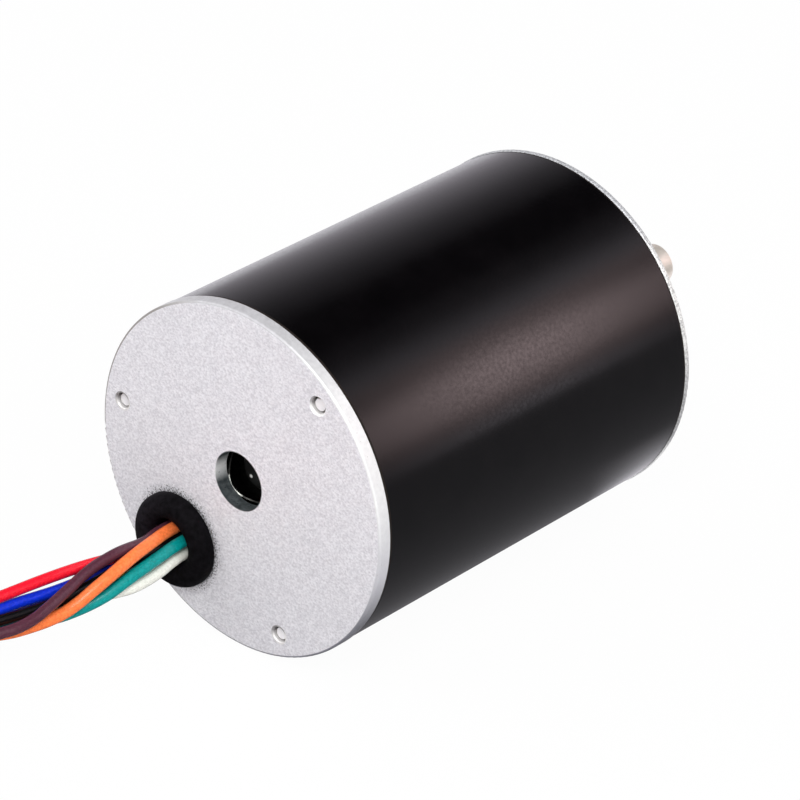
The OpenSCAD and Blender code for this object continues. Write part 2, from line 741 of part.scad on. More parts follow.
// One lead, from the board to just inside the coil
module lead(number) {
    path = lead_curve(number);
    r = (number < phase_leads ? phase_lead_d : sensor_lead_d) / 2;
    n = lead_sides;
    last_place = len(path) - 1;
    last = rings_per_place * last_place;
    points = [
        for (i = [0:last])
            let (
                u = i / rings_per_place,
                ahead = lead_point(path, min(u + 0.05, last_place)) - lead_point(path, max(u - 0.05, 0)),
                t = i == 0 ? [-1, 0, 0] : unit(ahead),
                s = sideways(t)
            )
            for (k = [0:n - 1])
                lead_point(path, u) + r * cos(k * 360 / n) * s + r * sin(k * 360 / n) * cross(s, t)
    ];
    walls = [
        for (i = [0:last - 1]) for (k = [0:n - 1])
            let (a = i * n + k, b = i * n + (k + 1) % n) [a, b, b + n, a + n]
    ];
    ends = [[for (k = [n - 1:-1:0]) k], [for (k = [0:n - 1]) last * n + k]];
    color(lead_colors[number]) polyhedron(points = points, faces = concat(walls, ends));
}

// Sets children, drawn with their radius along X and their height along Y, on the coil's axis.
// The outer turn goes through the leads' last place.
module on_coil() {
    last = station(len(bundle_route) - 1);
    side = sqrt(pow(coil_turn_r, 2) - pow(coil_lead_in, 2));
    translate([last[0] - coil_lead_in, last[1] - side, coil_z]) children();
}

// The section of all the coil's turns, grown on every side
module coil_section(grow) {
    outer = coil_turn_r + bundle_d / 2;
    width = (coil_turns - 1) * coil_pitch + bundle_d;
    translate([outer - width / 2, 0])
        rounded(width + 2 * grow, bundle_d + 2 * grow, bundle_d / 3 + grow);
}

module lead_coil() {
    color([0.25, 0.2, 0.22]) on_coil() rotate_extrude() coil_section(0);
}

// The tie round the coil's turns, on the side away from the motor, with its head on top
module coil_tie() {
    width = (coil_turns - 1) * coil_pitch + bundle_d;
    head_x = coil_turn_r + bundle_d / 2 - width / 2;
    head_z = bundle_d / 2 + tie_gap;
    color([0.9, 0.9, 0.88]) on_coil() rotate([0, 0, 180]) {
        translate([0, tie_w / 2, 0]) rotate([90, 0, 0]) linear_extrude(height = tie_w) difference() {
            coil_section(tie_gap + tie_t);
            coil_section(tie_gap);
        }
        translate([head_x - tie_head / 2, -tie_head / 2, head_z]) cube(tie_head);
    }
}

housing_tube();
front_cap();
rear_cap();
tie_screws();
grommet();
stator_core();
front_insulator();
rear_insulator();
for (i = [1:tooth_count]) coil(i);
sensor_board();
board_screws();
for (i = [1:3]) hall_sensor(i);
shaft();
rotor_core();
for (i = [1:magnet_count]) magnet(i);
for (piece = bearing_pieces) {
    bearing_piece(piece, front_bearing_x, 1);
    bearing_piece(piece, rear_bearing_x, -1);
}
wave_washer();
for (i = [0:len(lead_names) - 1])
    lead(i);
lead_coil();
coil_tie();
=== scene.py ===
# Brushless dc motor: its leads, finishes, studio and camera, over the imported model.
import math

import bmesh
import bpy
import numpy as np
from mathutils import Matrix, Vector


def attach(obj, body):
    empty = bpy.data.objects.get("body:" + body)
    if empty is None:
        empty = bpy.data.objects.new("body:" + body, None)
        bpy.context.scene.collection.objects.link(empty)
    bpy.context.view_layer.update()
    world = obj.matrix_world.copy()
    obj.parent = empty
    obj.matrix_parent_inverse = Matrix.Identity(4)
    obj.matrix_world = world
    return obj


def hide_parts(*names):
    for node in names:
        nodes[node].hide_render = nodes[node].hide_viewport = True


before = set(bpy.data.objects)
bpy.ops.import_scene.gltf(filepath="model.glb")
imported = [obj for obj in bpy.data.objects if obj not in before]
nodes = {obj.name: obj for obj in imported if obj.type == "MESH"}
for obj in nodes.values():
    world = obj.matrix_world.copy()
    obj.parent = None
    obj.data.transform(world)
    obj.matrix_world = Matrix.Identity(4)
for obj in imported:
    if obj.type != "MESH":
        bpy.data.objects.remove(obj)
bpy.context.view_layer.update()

# Place and directions fitted to the outlines of the two caps.
cameraSetup = {
    "place": (-0.3410, -0.2845, 0.2265),
    "look": (0.6541, 0.5914, -0.4716),
    "right": (0.6706, -0.7418, 0.0),
    "lens": 190.69,
    "sensor": 36,
    "nearest": 0.01,
    "farthest": 20,
}


def addCamera():
    setup = cameraSetup
    look = Vector(setup["look"]).normalized()
    right = Vector(setup["right"]).normalized()
    up = right.cross(look)
    turn = Matrix((right, up, -look)).transposed()
    data = bpy.data.cameras.new("motorCamera")
    data.lens = setup["lens"]
    data.sensor_width = setup["sensor"]
    data.clip_start = setup["nearest"]
    data.clip_end = setup["farthest"]
    camera = bpy.data.objects.new("motorCamera", data)
    camera.matrix_world = Matrix.Translation(setup["place"]) @ turn.to_4x4()
    bpy.context.scene.collection.objects.link(camera)
    bpy.context.scene.camera = camera


def meshPiece(name, points, faces, smooth=True):
    mesh = bpy.data.meshes.new(name)
    mesh.from_pydata([tuple(p) for p in points], [], faces)
    mesh.validate()
    mesh.update()
    if smooth:
        mesh.polygons.foreach_set("use_smooth", [True] * len(mesh.polygons))
    piece = bpy.data.objects.new(name, mesh)
    bpy.context.scene.collection.objects.link(piece)
    return piece


# Points and faces of a skin over rings of points, closed at both ends.
def closedTube(rings):
    count = len(rings[0])
    points = [p for ring in rings for p in ring]
    faces = []
    for i in range(len(rings) - 1):
        for k in range(count):
            a, b = i * count + k, i * count + (k + 1) % count
            faces.append((a, b, b + count, a + count))
    last = (len(rings) - 1) * count
    faces.append(tuple(reversed(range(count))))
    faces.append(tuple(last + k for k in range(count)))
    return points, faces


# Faces of a skin over a closed loop of sections, each of the same number of points.
def loopFaces(steps, count):
    faces = []
    for i in range(steps):
        j = (i + 1) % steps
        for k in range(count):
            n = (k + 1) % count
            faces.append((i * count + k, i * count + n, j * count + n, j * count + k))
    return faces


# A closed profile of radius and place along X, turned about a line along X at a Y and a Z.
def turnedPiece(name, profile, centre, steps):
    points = []
    for i in range(steps):
        a = 2 * math.pi * i / steps
        for r, x in profile:
            points.append((x, centre[0] + r * math.cos(a), centre[1] + r * math.sin(a)))
    piece = meshPiece(name, points, loopFaces(steps, len(profile)))
    tidyNormals(piece)
    return piece


def tidyNormals(piece):
    net = bmesh.new()
    net.from_mesh(piece.data)
    bmesh.ops.recalc_face_normals(net, faces=net.faces)
    net.to_mesh(piece.data)
    net.free()


def newFinish(name, colour, metallic, roughness, ior=1.5):
    material = bpy.data.materials.new(name)
    material.use_nodes = True
    tree = material.node_tree
    shader = tree.nodes["Principled BSDF"]
    shader.inputs["Base Color"].default_value = (*colour, 1)
    shader.inputs["Metallic"].default_value = metallic
    shader.inputs["Roughness"].default_value = roughness
    shader.inputs["IOR"].default_value = ior
    return material, tree, shader


# One of the object's own coordinates, in metres.
def coordinate(tree, axis):
    place = tree.nodes.new("ShaderNodeTexCoord")
    parts = tree.nodes.new("ShaderNodeSeparateXYZ")
    tree.links.new(place.outputs["Object"], parts.inputs["Vector"])
    return parts.outputs[axis]


def noiseOf(tree, scale, detail, stretch=(1, 1, 1)):
    place = tree.nodes.new("ShaderNodeTexCoord")
    mapping = tree.nodes.new("ShaderNodeMapping")
    mapping.inputs["Scale"].default_value = stretch
    noise = tree.nodes.new("ShaderNodeTexNoise")
    noise.inputs["Scale"].default_value = scale
    noise.inputs["Detail"].default_value = detail
    tree.links.new(place.outputs["Object"], mapping.inputs["Vector"])
    tree.links.new(mapping.outputs["Vector"], noise.inputs["Vector"])
    return noise.outputs["Fac"]


# A value with one range, as a rule the middle of a noise, moved on to another.
def spread(tree, value, low, high, fromLow=0.3, fromHigh=0.7):
    span = tree.nodes.new("ShaderNodeMapRange")
    span.inputs["From Min"].default_value = fromLow
    span.inputs["From Max"].default_value = fromHigh
    span.inputs["To Min"].default_value = low
    span.inputs["To Max"].default_value = high
    tree.links.new(value, span.inputs["Value"])
    return span.outputs["Result"]


# A noise with its middle range moved on to another range.
def uneven(tree, scale, detail, low=0, high=1, *middle):
    return spread(tree, noiseOf(tree, scale, detail), low, high, *middle)


def blend(tree, value, colourA, colourB):
    mix = tree.nodes.new("ShaderNodeMix")
    mix.data_type = "RGBA"
    for socket, colour in ((6, colourA), (7, colourB)):
        if isinstance(colour, tuple):
            mix.inputs[socket].default_value = (*colour, 1)
        else:
            tree.links.new(colour, mix.inputs[socket])
    tree.links.new(value, mix.inputs[0])
    return mix.outputs[2]


def paint(tree, shader, colour):
    tree.links.new(colour, shader.inputs["Base Color"])


def roughen(tree, shader, value):
    tree.links.new(value, shader.inputs["Roughness"])


def bumpFrom(tree, shader, height, distance, strength):
    bump = tree.nodes.new("ShaderNodeBump")
    bump.inputs["Strength"].default_value = strength
    bump.inputs["Distance"].default_value = distance
    tree.links.new(height, bump.inputs["Height"])
    tree.links.new(bump.outputs["Normal"], shader.inputs["Normal"])


def added(tree, a, b, kind="ADD"):
    node = tree.nodes.new("ShaderNodeMath")
    node.operation = kind
    for socket, value in ((0, a), (1, b)):
        if isinstance(value, (int, float)):
            node.inputs[socket].default_value = value
        else:
            tree.links.new(value, node.inputs[socket])
    return node.outputs[0]


def times(tree, a, b):
    return added(tree, a, b, "MULTIPLY")


# One between two values, nought outside them, with soft limits.
def between(tree, value, low, high, soft):
    rise = spread(tree, value, 0, 1, low - soft, low + soft)
    fall = spread(tree, value, 1, 0, high - soft, high + soft)
    return times(tree, rise, fall)


# One where a coordinate is past its end value, nought before its start value.
def beyond(tree, axis, start, end):
    return spread(tree, coordinate(tree, axis), 0, 1, start, end)


# Distance of a place on the object from a line along X, in metres.
def awayFrom(tree, y=0.0, z=0.0):
    place = tree.nodes.new("ShaderNodeTexCoord")
    flat = tree.nodes.new("ShaderNodeVectorMath")
    flat.operation = "MULTIPLY"
    flat.inputs[1].default_value = (0, 1, 1)
    reach = tree.nodes.new("ShaderNodeVectorMath")
    reach.operation = "DISTANCE"
    reach.inputs[1].default_value = (0, y, z)
    tree.links.new(place.outputs["Object"], flat.inputs[0])
    tree.links.new(flat.outputs["Vector"], reach.inputs[0])
    return reach.outputs["Value"]


leadRoute = {
    "rearX": -0.0527,
    "mouthX": -0.0549,
    "grommetY": 0.009457,
    "grommetZ": -0.010727,
    "coilZ": -0.01785,
    "insideStations": 2,
    "places": [
        (-0.011, 0, 0), (-0.0047, 0, 0), (0.0018, 0, 0), (0.0048, 0, -0.0002),
        (0.0083, 0.0004, -0.0007), (0.0123, 0.0012, -0.0011), (0.0168, 0.0023, -0.0016),
        (0.0218, 0.0038, -0.0023), (0.0273, 0.0055, -0.0035), (0.0333, 0.0068, -0.0053),
        (0.0393, 0.0086, -0.0067), (0.0453, 0.0112, -0.0071), (0.0513, 0.0142, -0.0072),
        (0.0572, 0.017, -0.0072), (0.063, 0.0187, -0.0072),
    ],
    "leadIn": 0.006,
    "turnRadius": 0.0235,
    "turnPitch": 0.0051,
    "stepsATurn": 24,
    "turns": 2,
    "moveIn": (285, 360),
    "twistLength": 0.07,
    "length": 0.31,
    "pointsAPlace": 2.5,
    "pointsAStep": 2,
    "headingStep": 0.01,
    "roundness": 5,
    "curveSteps": 4,
}
millimetre = 0.001
phaseLead = 0.00145
sensorLead = 0.0013
# Each lead's diameter, its colour, and its places in the bundle, sideways and up, in millimetres.
leadSet = {
    "orange": (phaseLead, (0.89, 0.19, 0.05), [
        (-0.32, 1.8), (-0.73, 1.96), (-1.13, 1.71), (-1.63, 0.7),
        (-1.46, -0.97), (-1.9, -0.5), (-1.03, 0.26), (-1.6, -0.8)]),
    "green": (phaseLead, (0.001, 0.26, 0.25), [
        (-1.72, 0.61), (-1.49, 0.19), (-1.48, -0.22), (-1.35, -1.29),
        (-0.34, -2), (0.17, -1.29), (-0.08, -1.14), (-0.4, -1.7)]),
    "white": (phaseLead, (0.72, 0.725, 0.66), [
        (-1.47, -1.22), (-1.35, -1.72), (-1.12, -1.87), (0.29, -1.92),
        (1.16, -2.15), (1.81, -1.67), (1.62, -1.4), (1.1, -1.4)]),
    "yellow": (sensorLead, (0.85, 0.55, 0.01), [
        (0.05, -1), (0.46, -1.04), (1.17, -1.47), (1.91, -1.63),
        (2.04, -0.99), (1.94, -0.22), (1.9, -0.01), (1.7, 0)]),
    "blue": (sensorLead, (0.003, 0.028, 0.60), [
        (1.39, -1.38), (1.88, -1.05), (2.12, -0.47), (1.55, -0.14),
        (1.16, 0.36), (1.19, 0.91), (1.11, 1.16), (0, 0)]),
    "red": (sensorLead, (0.84, 0.008, 0.026), [
        (1.03, -0.08), (1.31, 0.18), (1.64, 0.8), (1.87, 1.37),
        (1.6, 1.99), (1.43, 2.29), (1.65, 2.53), (1.1, 1.4)]),
    "purple": (sensorLead, (0.082, 0.024, 0.040), [
        (1, 1.29), (0.63, 1.42), (0.63, 1.97), (0.45, 1.56),
        (-1.04, 0.92), (-2.97, 0.72), (-2.48, 1.22), (-1.6, 0.8)]),
    "black": (sensorLead, (0.003, 0.003, 0.004), [
        (-0.25, 0.36), (-0.05, 0.25), (0.24, 0.18), (0.15, -0.16),
        (-0.18, -0.15), (-0.39, 0.41), (-0.25, 1.53), (-0.4, 1.7)]),
}


def coilAxis():
    route = leadRoute
    out, side = route["places"][-1][:2]
    reach = math.sqrt(route["turnRadius"] ** 2 - route["leadIn"] ** 2)
    x = route["rearX"] - out - route["leadIn"]
    return np.array((x, route["grommetY"] + side - reach, route["coilZ"]))


# The middle of the bundle: the route to the coil, then its turns, the second inside the first.
def bundleStations():
    route = leadRoute
    drop = (route["coilZ"] - route["grommetZ"]) / route["places"][-1][2]
    stations = []
    for out, side, down in route["places"]:
        x, y = route["rearX"] - out, route["grommetY"] + side
        stations.append((x, y, route["grommetZ"] + down * drop))
    axis = coilAxis()
    start = math.acos(route["leadIn"] / route["turnRadius"])
    first, last = (math.radians(a) for a in route["moveIn"])
    for i in range(1, route["turns"] * route["stepsATurn"]):
        turn = 2 * math.pi * i / route["stepsATurn"]
        share = min(max((turn - first) / (last - first), 0), 1)
        radius = route["turnRadius"] - route["turnPitch"] * share * share * (3 - 2 * share)
        a = start + turn
        stations.append(axis + radius * np.array((math.cos(a), math.sin(a), 0)))
    return np.array(stations)


# The bundle's stations with one lead's place in the bundle, which twists in the coil.
def leadStations(places):
    route = leadRoute
    middle = bundleStations()
    routeCount = len(route["places"])
    rows = []
    turned = 0.0
    for i, point in enumerate(middle):
        side, up = places[max(0, min(i - route["insideStations"], len(places) - 1))]
        if i >= routeCount:
            step = np.linalg.norm(middle[i] - middle[i - 1])
            turned += step * 2 * math.pi / route["twistLength"]
        c, s = math.cos(turned), math.sin(turned)
        rows.append([*point, (side * c - up * s) * millimetre, (side * s + up * c) * millimetre])
    return np.array(rows)


# The rows' values at a place between two of them, on a smooth curve through all.
def curveAt(rows, u):
    i = int(min(math.floor(u), len(rows) - 2))
    t = u - i
    a, b = rows[max(i - 1, 0)], rows[i]
    c, d = rows[i + 1], rows[min(i + 2, len(rows) - 1)]
    bend = a - 2.5 * b + 2 * c - d / 2
    return b + t * ((c - a) / 2 + t * (bend + t * (1.5 * (b - c) + (d - a) / 2)))


def unit(v):
    return v / np.linalg.norm(v)


def leadPoint(rows, u):
    here = curveAt(rows, u)
    step = leadRoute["headingStep"]
    ahead, behind = curveAt(rows, min(u + step, len(rows) - 1)), curveAt(rows, max(u - step, 0))
    along = unit((ahead - behind)[:3])
    side = unit(np.cross(along, (0, 0, 1)))
    return here[:3] + here[3] * side + here[4] * np.cross(side, along)


# A lead's own points, ended where its length is used up.
def leadLine(places):
    rows = leadStations(places)
    routeCount = len(leadRoute["places"])
    steps = list(np.arange(0, routeCount - 1, 1 / leadRoute["pointsAPlace"]))
    steps += list(np.arange(routeCount - 1, len(rows) - 1, 1 / leadRoute["pointsAStep"]))
    points = [leadPoint(rows, u) for u in steps]
    line = [points[0]]
    used = 0.0
    for p in points[1:]:
        step = np.linalg.norm(p - line[-1])
        if used + step > leadRoute["length"]:
            left = leadRoute["length"] - used
            line.append(line[-1] + (p - line[-1]) * left / step)
            break
        line.append(p)
        used += step
    return line


def leadCurve(colour):
    gauge, _, places = leadSet[colour]
    line = leadLine(places)
    data = bpy.data.curves.new("lead_" + colour + "_flex", "CURVE")
    data.dimensions = "3D"
    data.bevel_depth = gauge / 2
    data.bevel_resolution = leadRoute["roundness"]
    data.resolution_u = leadRoute["curveSteps"]
    data.use_fill_caps = True
    spline = data.splines.new("BEZIER")
    spline.bezier_points.add(len(line) - 1)
    for i, p in enumerate(line):
        before, after = line[max(i - 1, 0)], line[min(i + 1, len(line) - 1)]
        heading = unit(after - before)
        point = spline.bezier_points[i]
        point.co = p
        point.handle_left = p - heading * np.linalg.norm(p - before) / 3
        point.handle_right = p + heading * np.linalg.norm(after - p) / 3
    piece = bpy.data.objects.new("lead_" + colour + "_flex", data)
    bpy.context.scene.collection.objects.link(piece)
    return piece, line


strippedEnd = {
    "length": 0.005,
    "strandRadius": 0.00014,
    "strands": 6,
    "twist": 2.2,
    "spacing": 2.02,
    "tuck": 0.0004,
    "tinnedFrom": 0.55,
    "tinning": 0.12,
    "tip": 0.55,
    "sides": 8,
    "rings": 24,
    "tin": (0.74, 0.72, 0.69),
    "copper": (0.70, 0.42, 0.28),
}


# The bare end of a lead: strands twisted round a middle one, tinned at the tip.
def strippedStrands(colour, line):
    end = np.array(line[-1])
    along = unit(end - np.array(line[-3]))
    side = unit(np.cross(along, (0, 0, 1)))
    up = np.cross(side, along)
    setup = strippedEnd
    r = setup["strandRadius"]
    points = []
    faces = []
    for strand in range(setup["strands"] + 1):
        away = 0 if strand == setup["strands"] else setup["spacing"] * r
        rings = []
        for i in range(setup["rings"] + 1):
            t = i / setup["rings"]
            turn = 2 * math.pi * (strand / setup["strands"] + setup["twist"] * t)
            middle = end + along * (t * setup["length"] - setup["tuck"])
            middle = middle + away * (math.cos(turn) * side + math.sin(turn) * up)
            grown = r * (1 + setup["tinning"] * max(0, t - setup["tinnedFrom"]))
            if i == setup["rings"]:
                grown = r * setup["tip"]
            ring = []
            for k in range(setup["sides"]):
                a = 2 * math.pi * k / setup["sides"]
                ring.append(middle + grown * (math.cos(a) * side + math.sin(a) * up))
            rings.append(ring)
        newPoints, newFaces = closedTube(rings)
        faces += [tuple(k + len(points) for k in face) for face in newFaces]
        points += newPoints
    piece = meshPiece("lead_" + colour + "_strands", points, faces)
    tidyNormals(piece)
    piece.data.materials.append(tinnedCopper())
    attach(piece, "housing")
    return piece


insulationFinish = {
    "ior": 1.38,
    "speckScale": 3200,
    "darkest": 0.8,
    "paleGain": 0.16,
    "lightest": 1.06,
    "roughness": (0.13, 0.24),
    "grainScale": 5600,
    "grainDepth": 0.00004,
}


# Moulded plastic: specks of a darker tone, fainter on a pale colour, fine grain and soft gloss.
def insulation(colour):
    setup = insulationFinish
    name, paintColour = "lead" + colour.capitalize(), leadSet[colour][1]
    material, tree, shader = newFinish(name, paintColour, 0, 0.18, setup["ior"])
    specks = uneven(tree, setup["speckScale"], 4, 0, 1, 0.36, 0.64)
    dim = setup["darkest"] + setup["paleGain"] * min(paintColour)
    darker = tuple(c * dim for c in paintColour)
    lighter = tuple(min(1, c * setup["lightest"] + 0.002) for c in paintColour)
    paint(tree, shader, blend(tree, specks, darker, lighter))
    roughen(tree, shader, uneven(tree, 2600, 2, *setup["roughness"]))
    bumpFrom(tree, shader, noiseOf(tree, setup["grainScale"], 2), setup["grainDepth"], 0.7)
    return material


def tinnedCopper():
    material = bpy.data.materials.get("tinnedCopper")
    if material:
        return material
    material, tree, shader = newFinish("tinnedCopper", (0.72, 0.68, 0.62), 1, 0.3)
    patches = uneven(tree, 2200, 3, 0, 1, 0.42, 0.6)
    paint(tree, shader, blend(tree, patches, strippedEnd["tin"], strippedEnd["copper"]))
    roughen(tree, shader, uneven(tree, 5000, 2, 0.2, 0.45))
    return material


def addLeads():
    tie = tieStrap()
    for colour in leadSet:
        piece, line = leadCurve(colour)
        piece.data.materials.append(insulation(colour))
        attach(piece, "housing")
        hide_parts("lead_" + colour, "lead_coil")
        strands = strippedStrands(colour, line)


tieSetup = {
    "thickness": 0.0006,
    "width": 0.0025,
    "gap": 0.0001,
    "bundle": 0.0049,
    "cornerSteps": 8,
    "edge": 0.00008,
    "ridgePitch": 0.0005,
    "ridgeDepth": 0.00012,
    "ridgeWidth": (0.55, 0.62),
    "stepsARidge": 4,
    "head": 0.0044,
    "headEdge": 0.0005,
    "headWall": 0.0006,
    "headDepth": 0.0012,
    "tail": (0.0007, 0.85, 0.0022),
    "tailAside": 0.0004,
    "tailSunk": 0.0009,
    "nylon": ((0.70, 0.69, 0.64), (0.83, 0.82, 0.78)),
}


# The ribbed band round the coil's two turns, its square head and the cut tail in it.
def tieStrap():
    route, setup = leadRoute, tieSetup
    axis = coilAxis()
    width = route["turnPitch"] + setup["bundle"]
    middle = axis[0] - (route["turnRadius"] + setup["bundle"] / 2 - width / 2)
    halfW, halfH = width / 2 + setup["gap"], setup["bundle"] / 2 + setup["gap"]
    corner = setup["bundle"] / 3 + setup["gap"]
    outline = []
    for quarter, (sx, sy) in enumerate(((1, 1), (-1, 1), (-1, -1), (1, -1))):
        for i in range(setup["cornerSteps"] + 1):
            a = math.pi / 2 * (quarter + i / setup["cornerSteps"])
            x = sx * (halfW - corner) + corner * math.cos(a)
            outline.append((x, sy * (halfH - corner) + corner * math.sin(a)))
    band = []
    for i, p in enumerate(outline):
        q = outline[(i + 1) % len(outline)]
        pieces = max(1, round(math.dist(p, q) / (setup["ridgePitch"] / setup["stepsARidge"])))
        for k in range(pieces):
            band.append((p[0] + (q[0] - p[0]) * k / pieces, p[1] + (q[1] - p[1]) * k / pieces))
    points = []
    walked = 0.0
    w, t, edge = setup["width"] / 2, setup["thickness"], setup["edge"]
    ribbed, plain = (w * share for share in setup["ridgeWidth"])
    for i, here in enumerate(band):
        before, after = band[i - 1], band[(i + 1) % len(band)]
        walked += math.dist(before, here)
        heading = unit(np.array(after) - np.array(before))
        away = np.array((heading[1], -heading[0]))
        phase = 2 * math.pi * walked / setup["ridgePitch"]
        ridge = setup["ridgeDepth"] * (0.5 - 0.5 * math.cos(phase))
        section = [(-w, 0), (w, 0), (w, t - edge), (w - edge, t), (plain, t), (ribbed, t - ridge),
                   (-ribbed, t - ridge), (-plain, t), (-w + edge, t), (-w, t - edge)]
        for along, up in section:
            p = np.array(here) + away * up
            points.append((middle + p[0], axis[1] + along, axis[2] + p[1]))
    faces = loopFaces(len(band), len(points) // len(band))
    piece = meshPiece("coil_tie_strap", points, faces, smooth=False)
    tidyNormals(piece)
    addTieHead(piece, (middle, axis[1], axis[2] + halfH))
    piece.data.materials.append(tieNylon())
    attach(piece, "housing")
    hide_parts("coil_tie")
    return piece


# The head: a rounded block with the strap's slot and the cut end of the strap in it.
def addTieHead(piece, place):
    setup = tieSetup
    size, edge = setup["head"], setup["headEdge"]
    thickness, width, length = setup["tail"]
    net = bmesh.new()
    bmesh.ops.create_cube(net, size=size)
    bmesh.ops.bevel(net, geom=net.edges[:], offset=edge, segments=3, affect="EDGES", profile=0.5)
    top = max(net.faces, key=lambda f: f.calc_center_median().z)
    bmesh.ops.inset_region(net, faces=[top], thickness=setup["headWall"])
    bmesh.ops.translate(net, vec=(0, 0, -setup["headDepth"]), verts=top.verts)
    stub = bmesh.ops.create_cube(net, size=1)
    bmesh.ops.scale(net, vec=(thickness, setup["width"] * width, length), verts=stub["verts"])
    sunk = (-setup["tailAside"], 0, size / 2 - setup["tailSunk"])
    bmesh.ops.translate(net, vec=sunk, verts=stub["verts"])
    bmesh.ops.translate(net, vec=(place[0], place[1], place[2] + size / 2), verts=net.verts)
    base = bmesh.new()
    base.from_mesh(piece.data)
    spare = bpy.data.meshes.new("tieHead")
    net.to_mesh(spare)
    base.from_mesh(spare)
    base.to_mesh(piece.data)
    base.free()
    net.free()
    bpy.data.meshes.remove(spare)


def tieNylon():
    material, tree, shader = newFinish("tieNylon", (0.78, 0.77, 0.72), 0, 0.42, 1.5)
    milky = uneven(tree, 700, 3)
    paint(tree, shader, blend(tree, milky, *tieSetup["nylon"]))
    shader.inputs["Subsurface Weight"].default_value = 0.15
    shader.inputs["Subsurface Radius"].default_value = (0.001, 0.0009, 0.0008)
    bumpFrom(tree, shader, noiseOf(tree, 3500, 2), 0.00001, 0.5)
    return material


# The grommet, turned from the same sizes as the frame's, with its edges rounded.
grommetSetup = {
    "bore": 0.0027,
    "outside": 0.00565,
    "height": 0.0022,
    "neck": 0.00419,
    "flange": 0.0051,
    "plate": 0.0032,
    "flangeThickness": 0.0014,
    "edge": 0.0003,
    "innerEdge": 0.0002,
    "domeSteps": 28,
    "steps": 128,
    "sharpAngle": 50,
}


# A rounded edge in a profile of radius and place along X.
def roundedEdge(r, x, edge, first, steps):
    turns = [math.pi / 2 * i / steps for i in range(first, steps + 1)]
    return [(r - edge + edge * math.cos(a), x - edge + edge * math.sin(a)) for a in turns]


def rubberGrommet():
    setup, face = grommetSetup, leadRoute["rearX"]
    domeRadius = (setup["outside"] - setup["bore"]) / 2
    middle = setup["bore"] + domeRadius
    base = face - (setup["height"] - domeRadius)
    profile = []
    for i in range(setup["domeSteps"] + 1):
        a = math.pi * (1 - i / setup["domeSteps"])
        profile.append((middle + domeRadius * math.cos(a), base - domeRadius * math.sin(a)))
    profile += roundedEdge(setup["outside"], face, setup["edge"], 1, 6)
    inner = face + setup["plate"]
    end = inner + setup["flangeThickness"]
    profile += [(setup["neck"], face), (setup["neck"], inner), (setup["flange"], inner)]
    profile += roundedEdge(setup["flange"], end, setup["edge"], 0, 5)
    profile += [(setup["bore"] + setup["innerEdge"], end), (setup["bore"], end - setup["innerEdge"])]
    centre = (leadRoute["grommetY"], leadRoute["grommetZ"])
    piece = turnedPiece("rubber_grommet", profile, centre, setup["steps"])
    piece.data.set_sharp_from_angle(angle=math.radians(setup["sharpAngle"]))
    piece.data.materials.append(grommetRubber())
    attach(piece, "housing")
    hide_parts("grommet")


# The grommet's side towards +Y is painted lighter where the light falls on it.
rubberFinish = {
    "plainRubber": ((0.0016, 0.0014, 0.0018), (0.0056, 0.0048, 0.0062)),
    "paintedLitSide": ((0.0052, 0.0044, 0.0056), (0.0145, 0.0122, 0.0160)),
    "paintedLitSidePastY": (0.009, 0.013),
}


def grommetRubber():
    setup = rubberFinish
    material, tree, shader = newFinish("grommetRubber", (0.003, 0.003, 0.0035), 0, 0.7, 1.12)
    bloom = uneven(tree, 1500, 4, 0, 1, 0.35, 0.75)
    # The rubber's own tone, and the same painted lighter on the side where the light falls.
    plainRubber = blend(tree, bloom, *setup["plainRubber"])
    paintedLitSide = blend(tree, bloom, *setup["paintedLitSide"])
    paint(tree, shader, blend(tree, beyond(tree, "Y", *setup["paintedLitSidePastY"]), plainRubber, paintedLitSide))
    roughen(tree, shader, uneven(tree, 3200, 3, 0.55, 0.8))
    bumpFrom(tree, shader, noiseOf(tree, 6500, 3), 0.00003, 0.7)
    return material


# The wave washer behind the centre hole.
washerSetup = {
    "place": -0.0506,
    "inner": 0.004,
    "outer": 0.0063,
    "thickness": 0.00035,
    "height": 0.0015,
    "waves": 3,
    "angle": -40,
    "edge": 0.00011,
    "steps": 180,
    "sharpAngle": 30,
}


def springWasher():
    setup = washerSetup
    lift = (setup["height"] - setup["thickness"]) / 2
    e, t = setup["edge"], setup["thickness"]
    low, high = setup["inner"], setup["outer"]
    section = [(low, e), (low + e, 0), (high - e, 0), (high, e),
               (high, t - e), (high - e, t), (low + e, t), (low, t - e)]
    points = []
    for i in range(setup["steps"]):
        a = 2 * math.pi * i / setup["steps"]
        phase = setup["waves"] * (a - math.radians(setup["angle"]))
        wave = setup["place"] + lift - lift * math.cos(phase)
        for r, up in section:
            points.append((wave + up, r * math.cos(a), r * math.sin(a)))
    piece = meshPiece("spring_washer", points, loopFaces(setup["steps"], len(section)))
    tidyNormals(piece)
    piece.data.set_sharp_from_angle(angle=math.radians(setup["sharpAngle"]))
    piece.data.materials.append(springSteel())
    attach(piece, "housing")
    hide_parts("wave_washer")


springFinish = {
    "paintedShade": ((0.012, 0.012, 0.012), (0.03, 0.03, 0.028)),
    "shine": (0.98, 1.0, 0.93),
    "highlightEdge": (0.004008, 0.00412, 0.000008),
    "highlightPlace": (0.00297, -0.00268),
    "highlightReach": (0.0009, 0.0015),
}


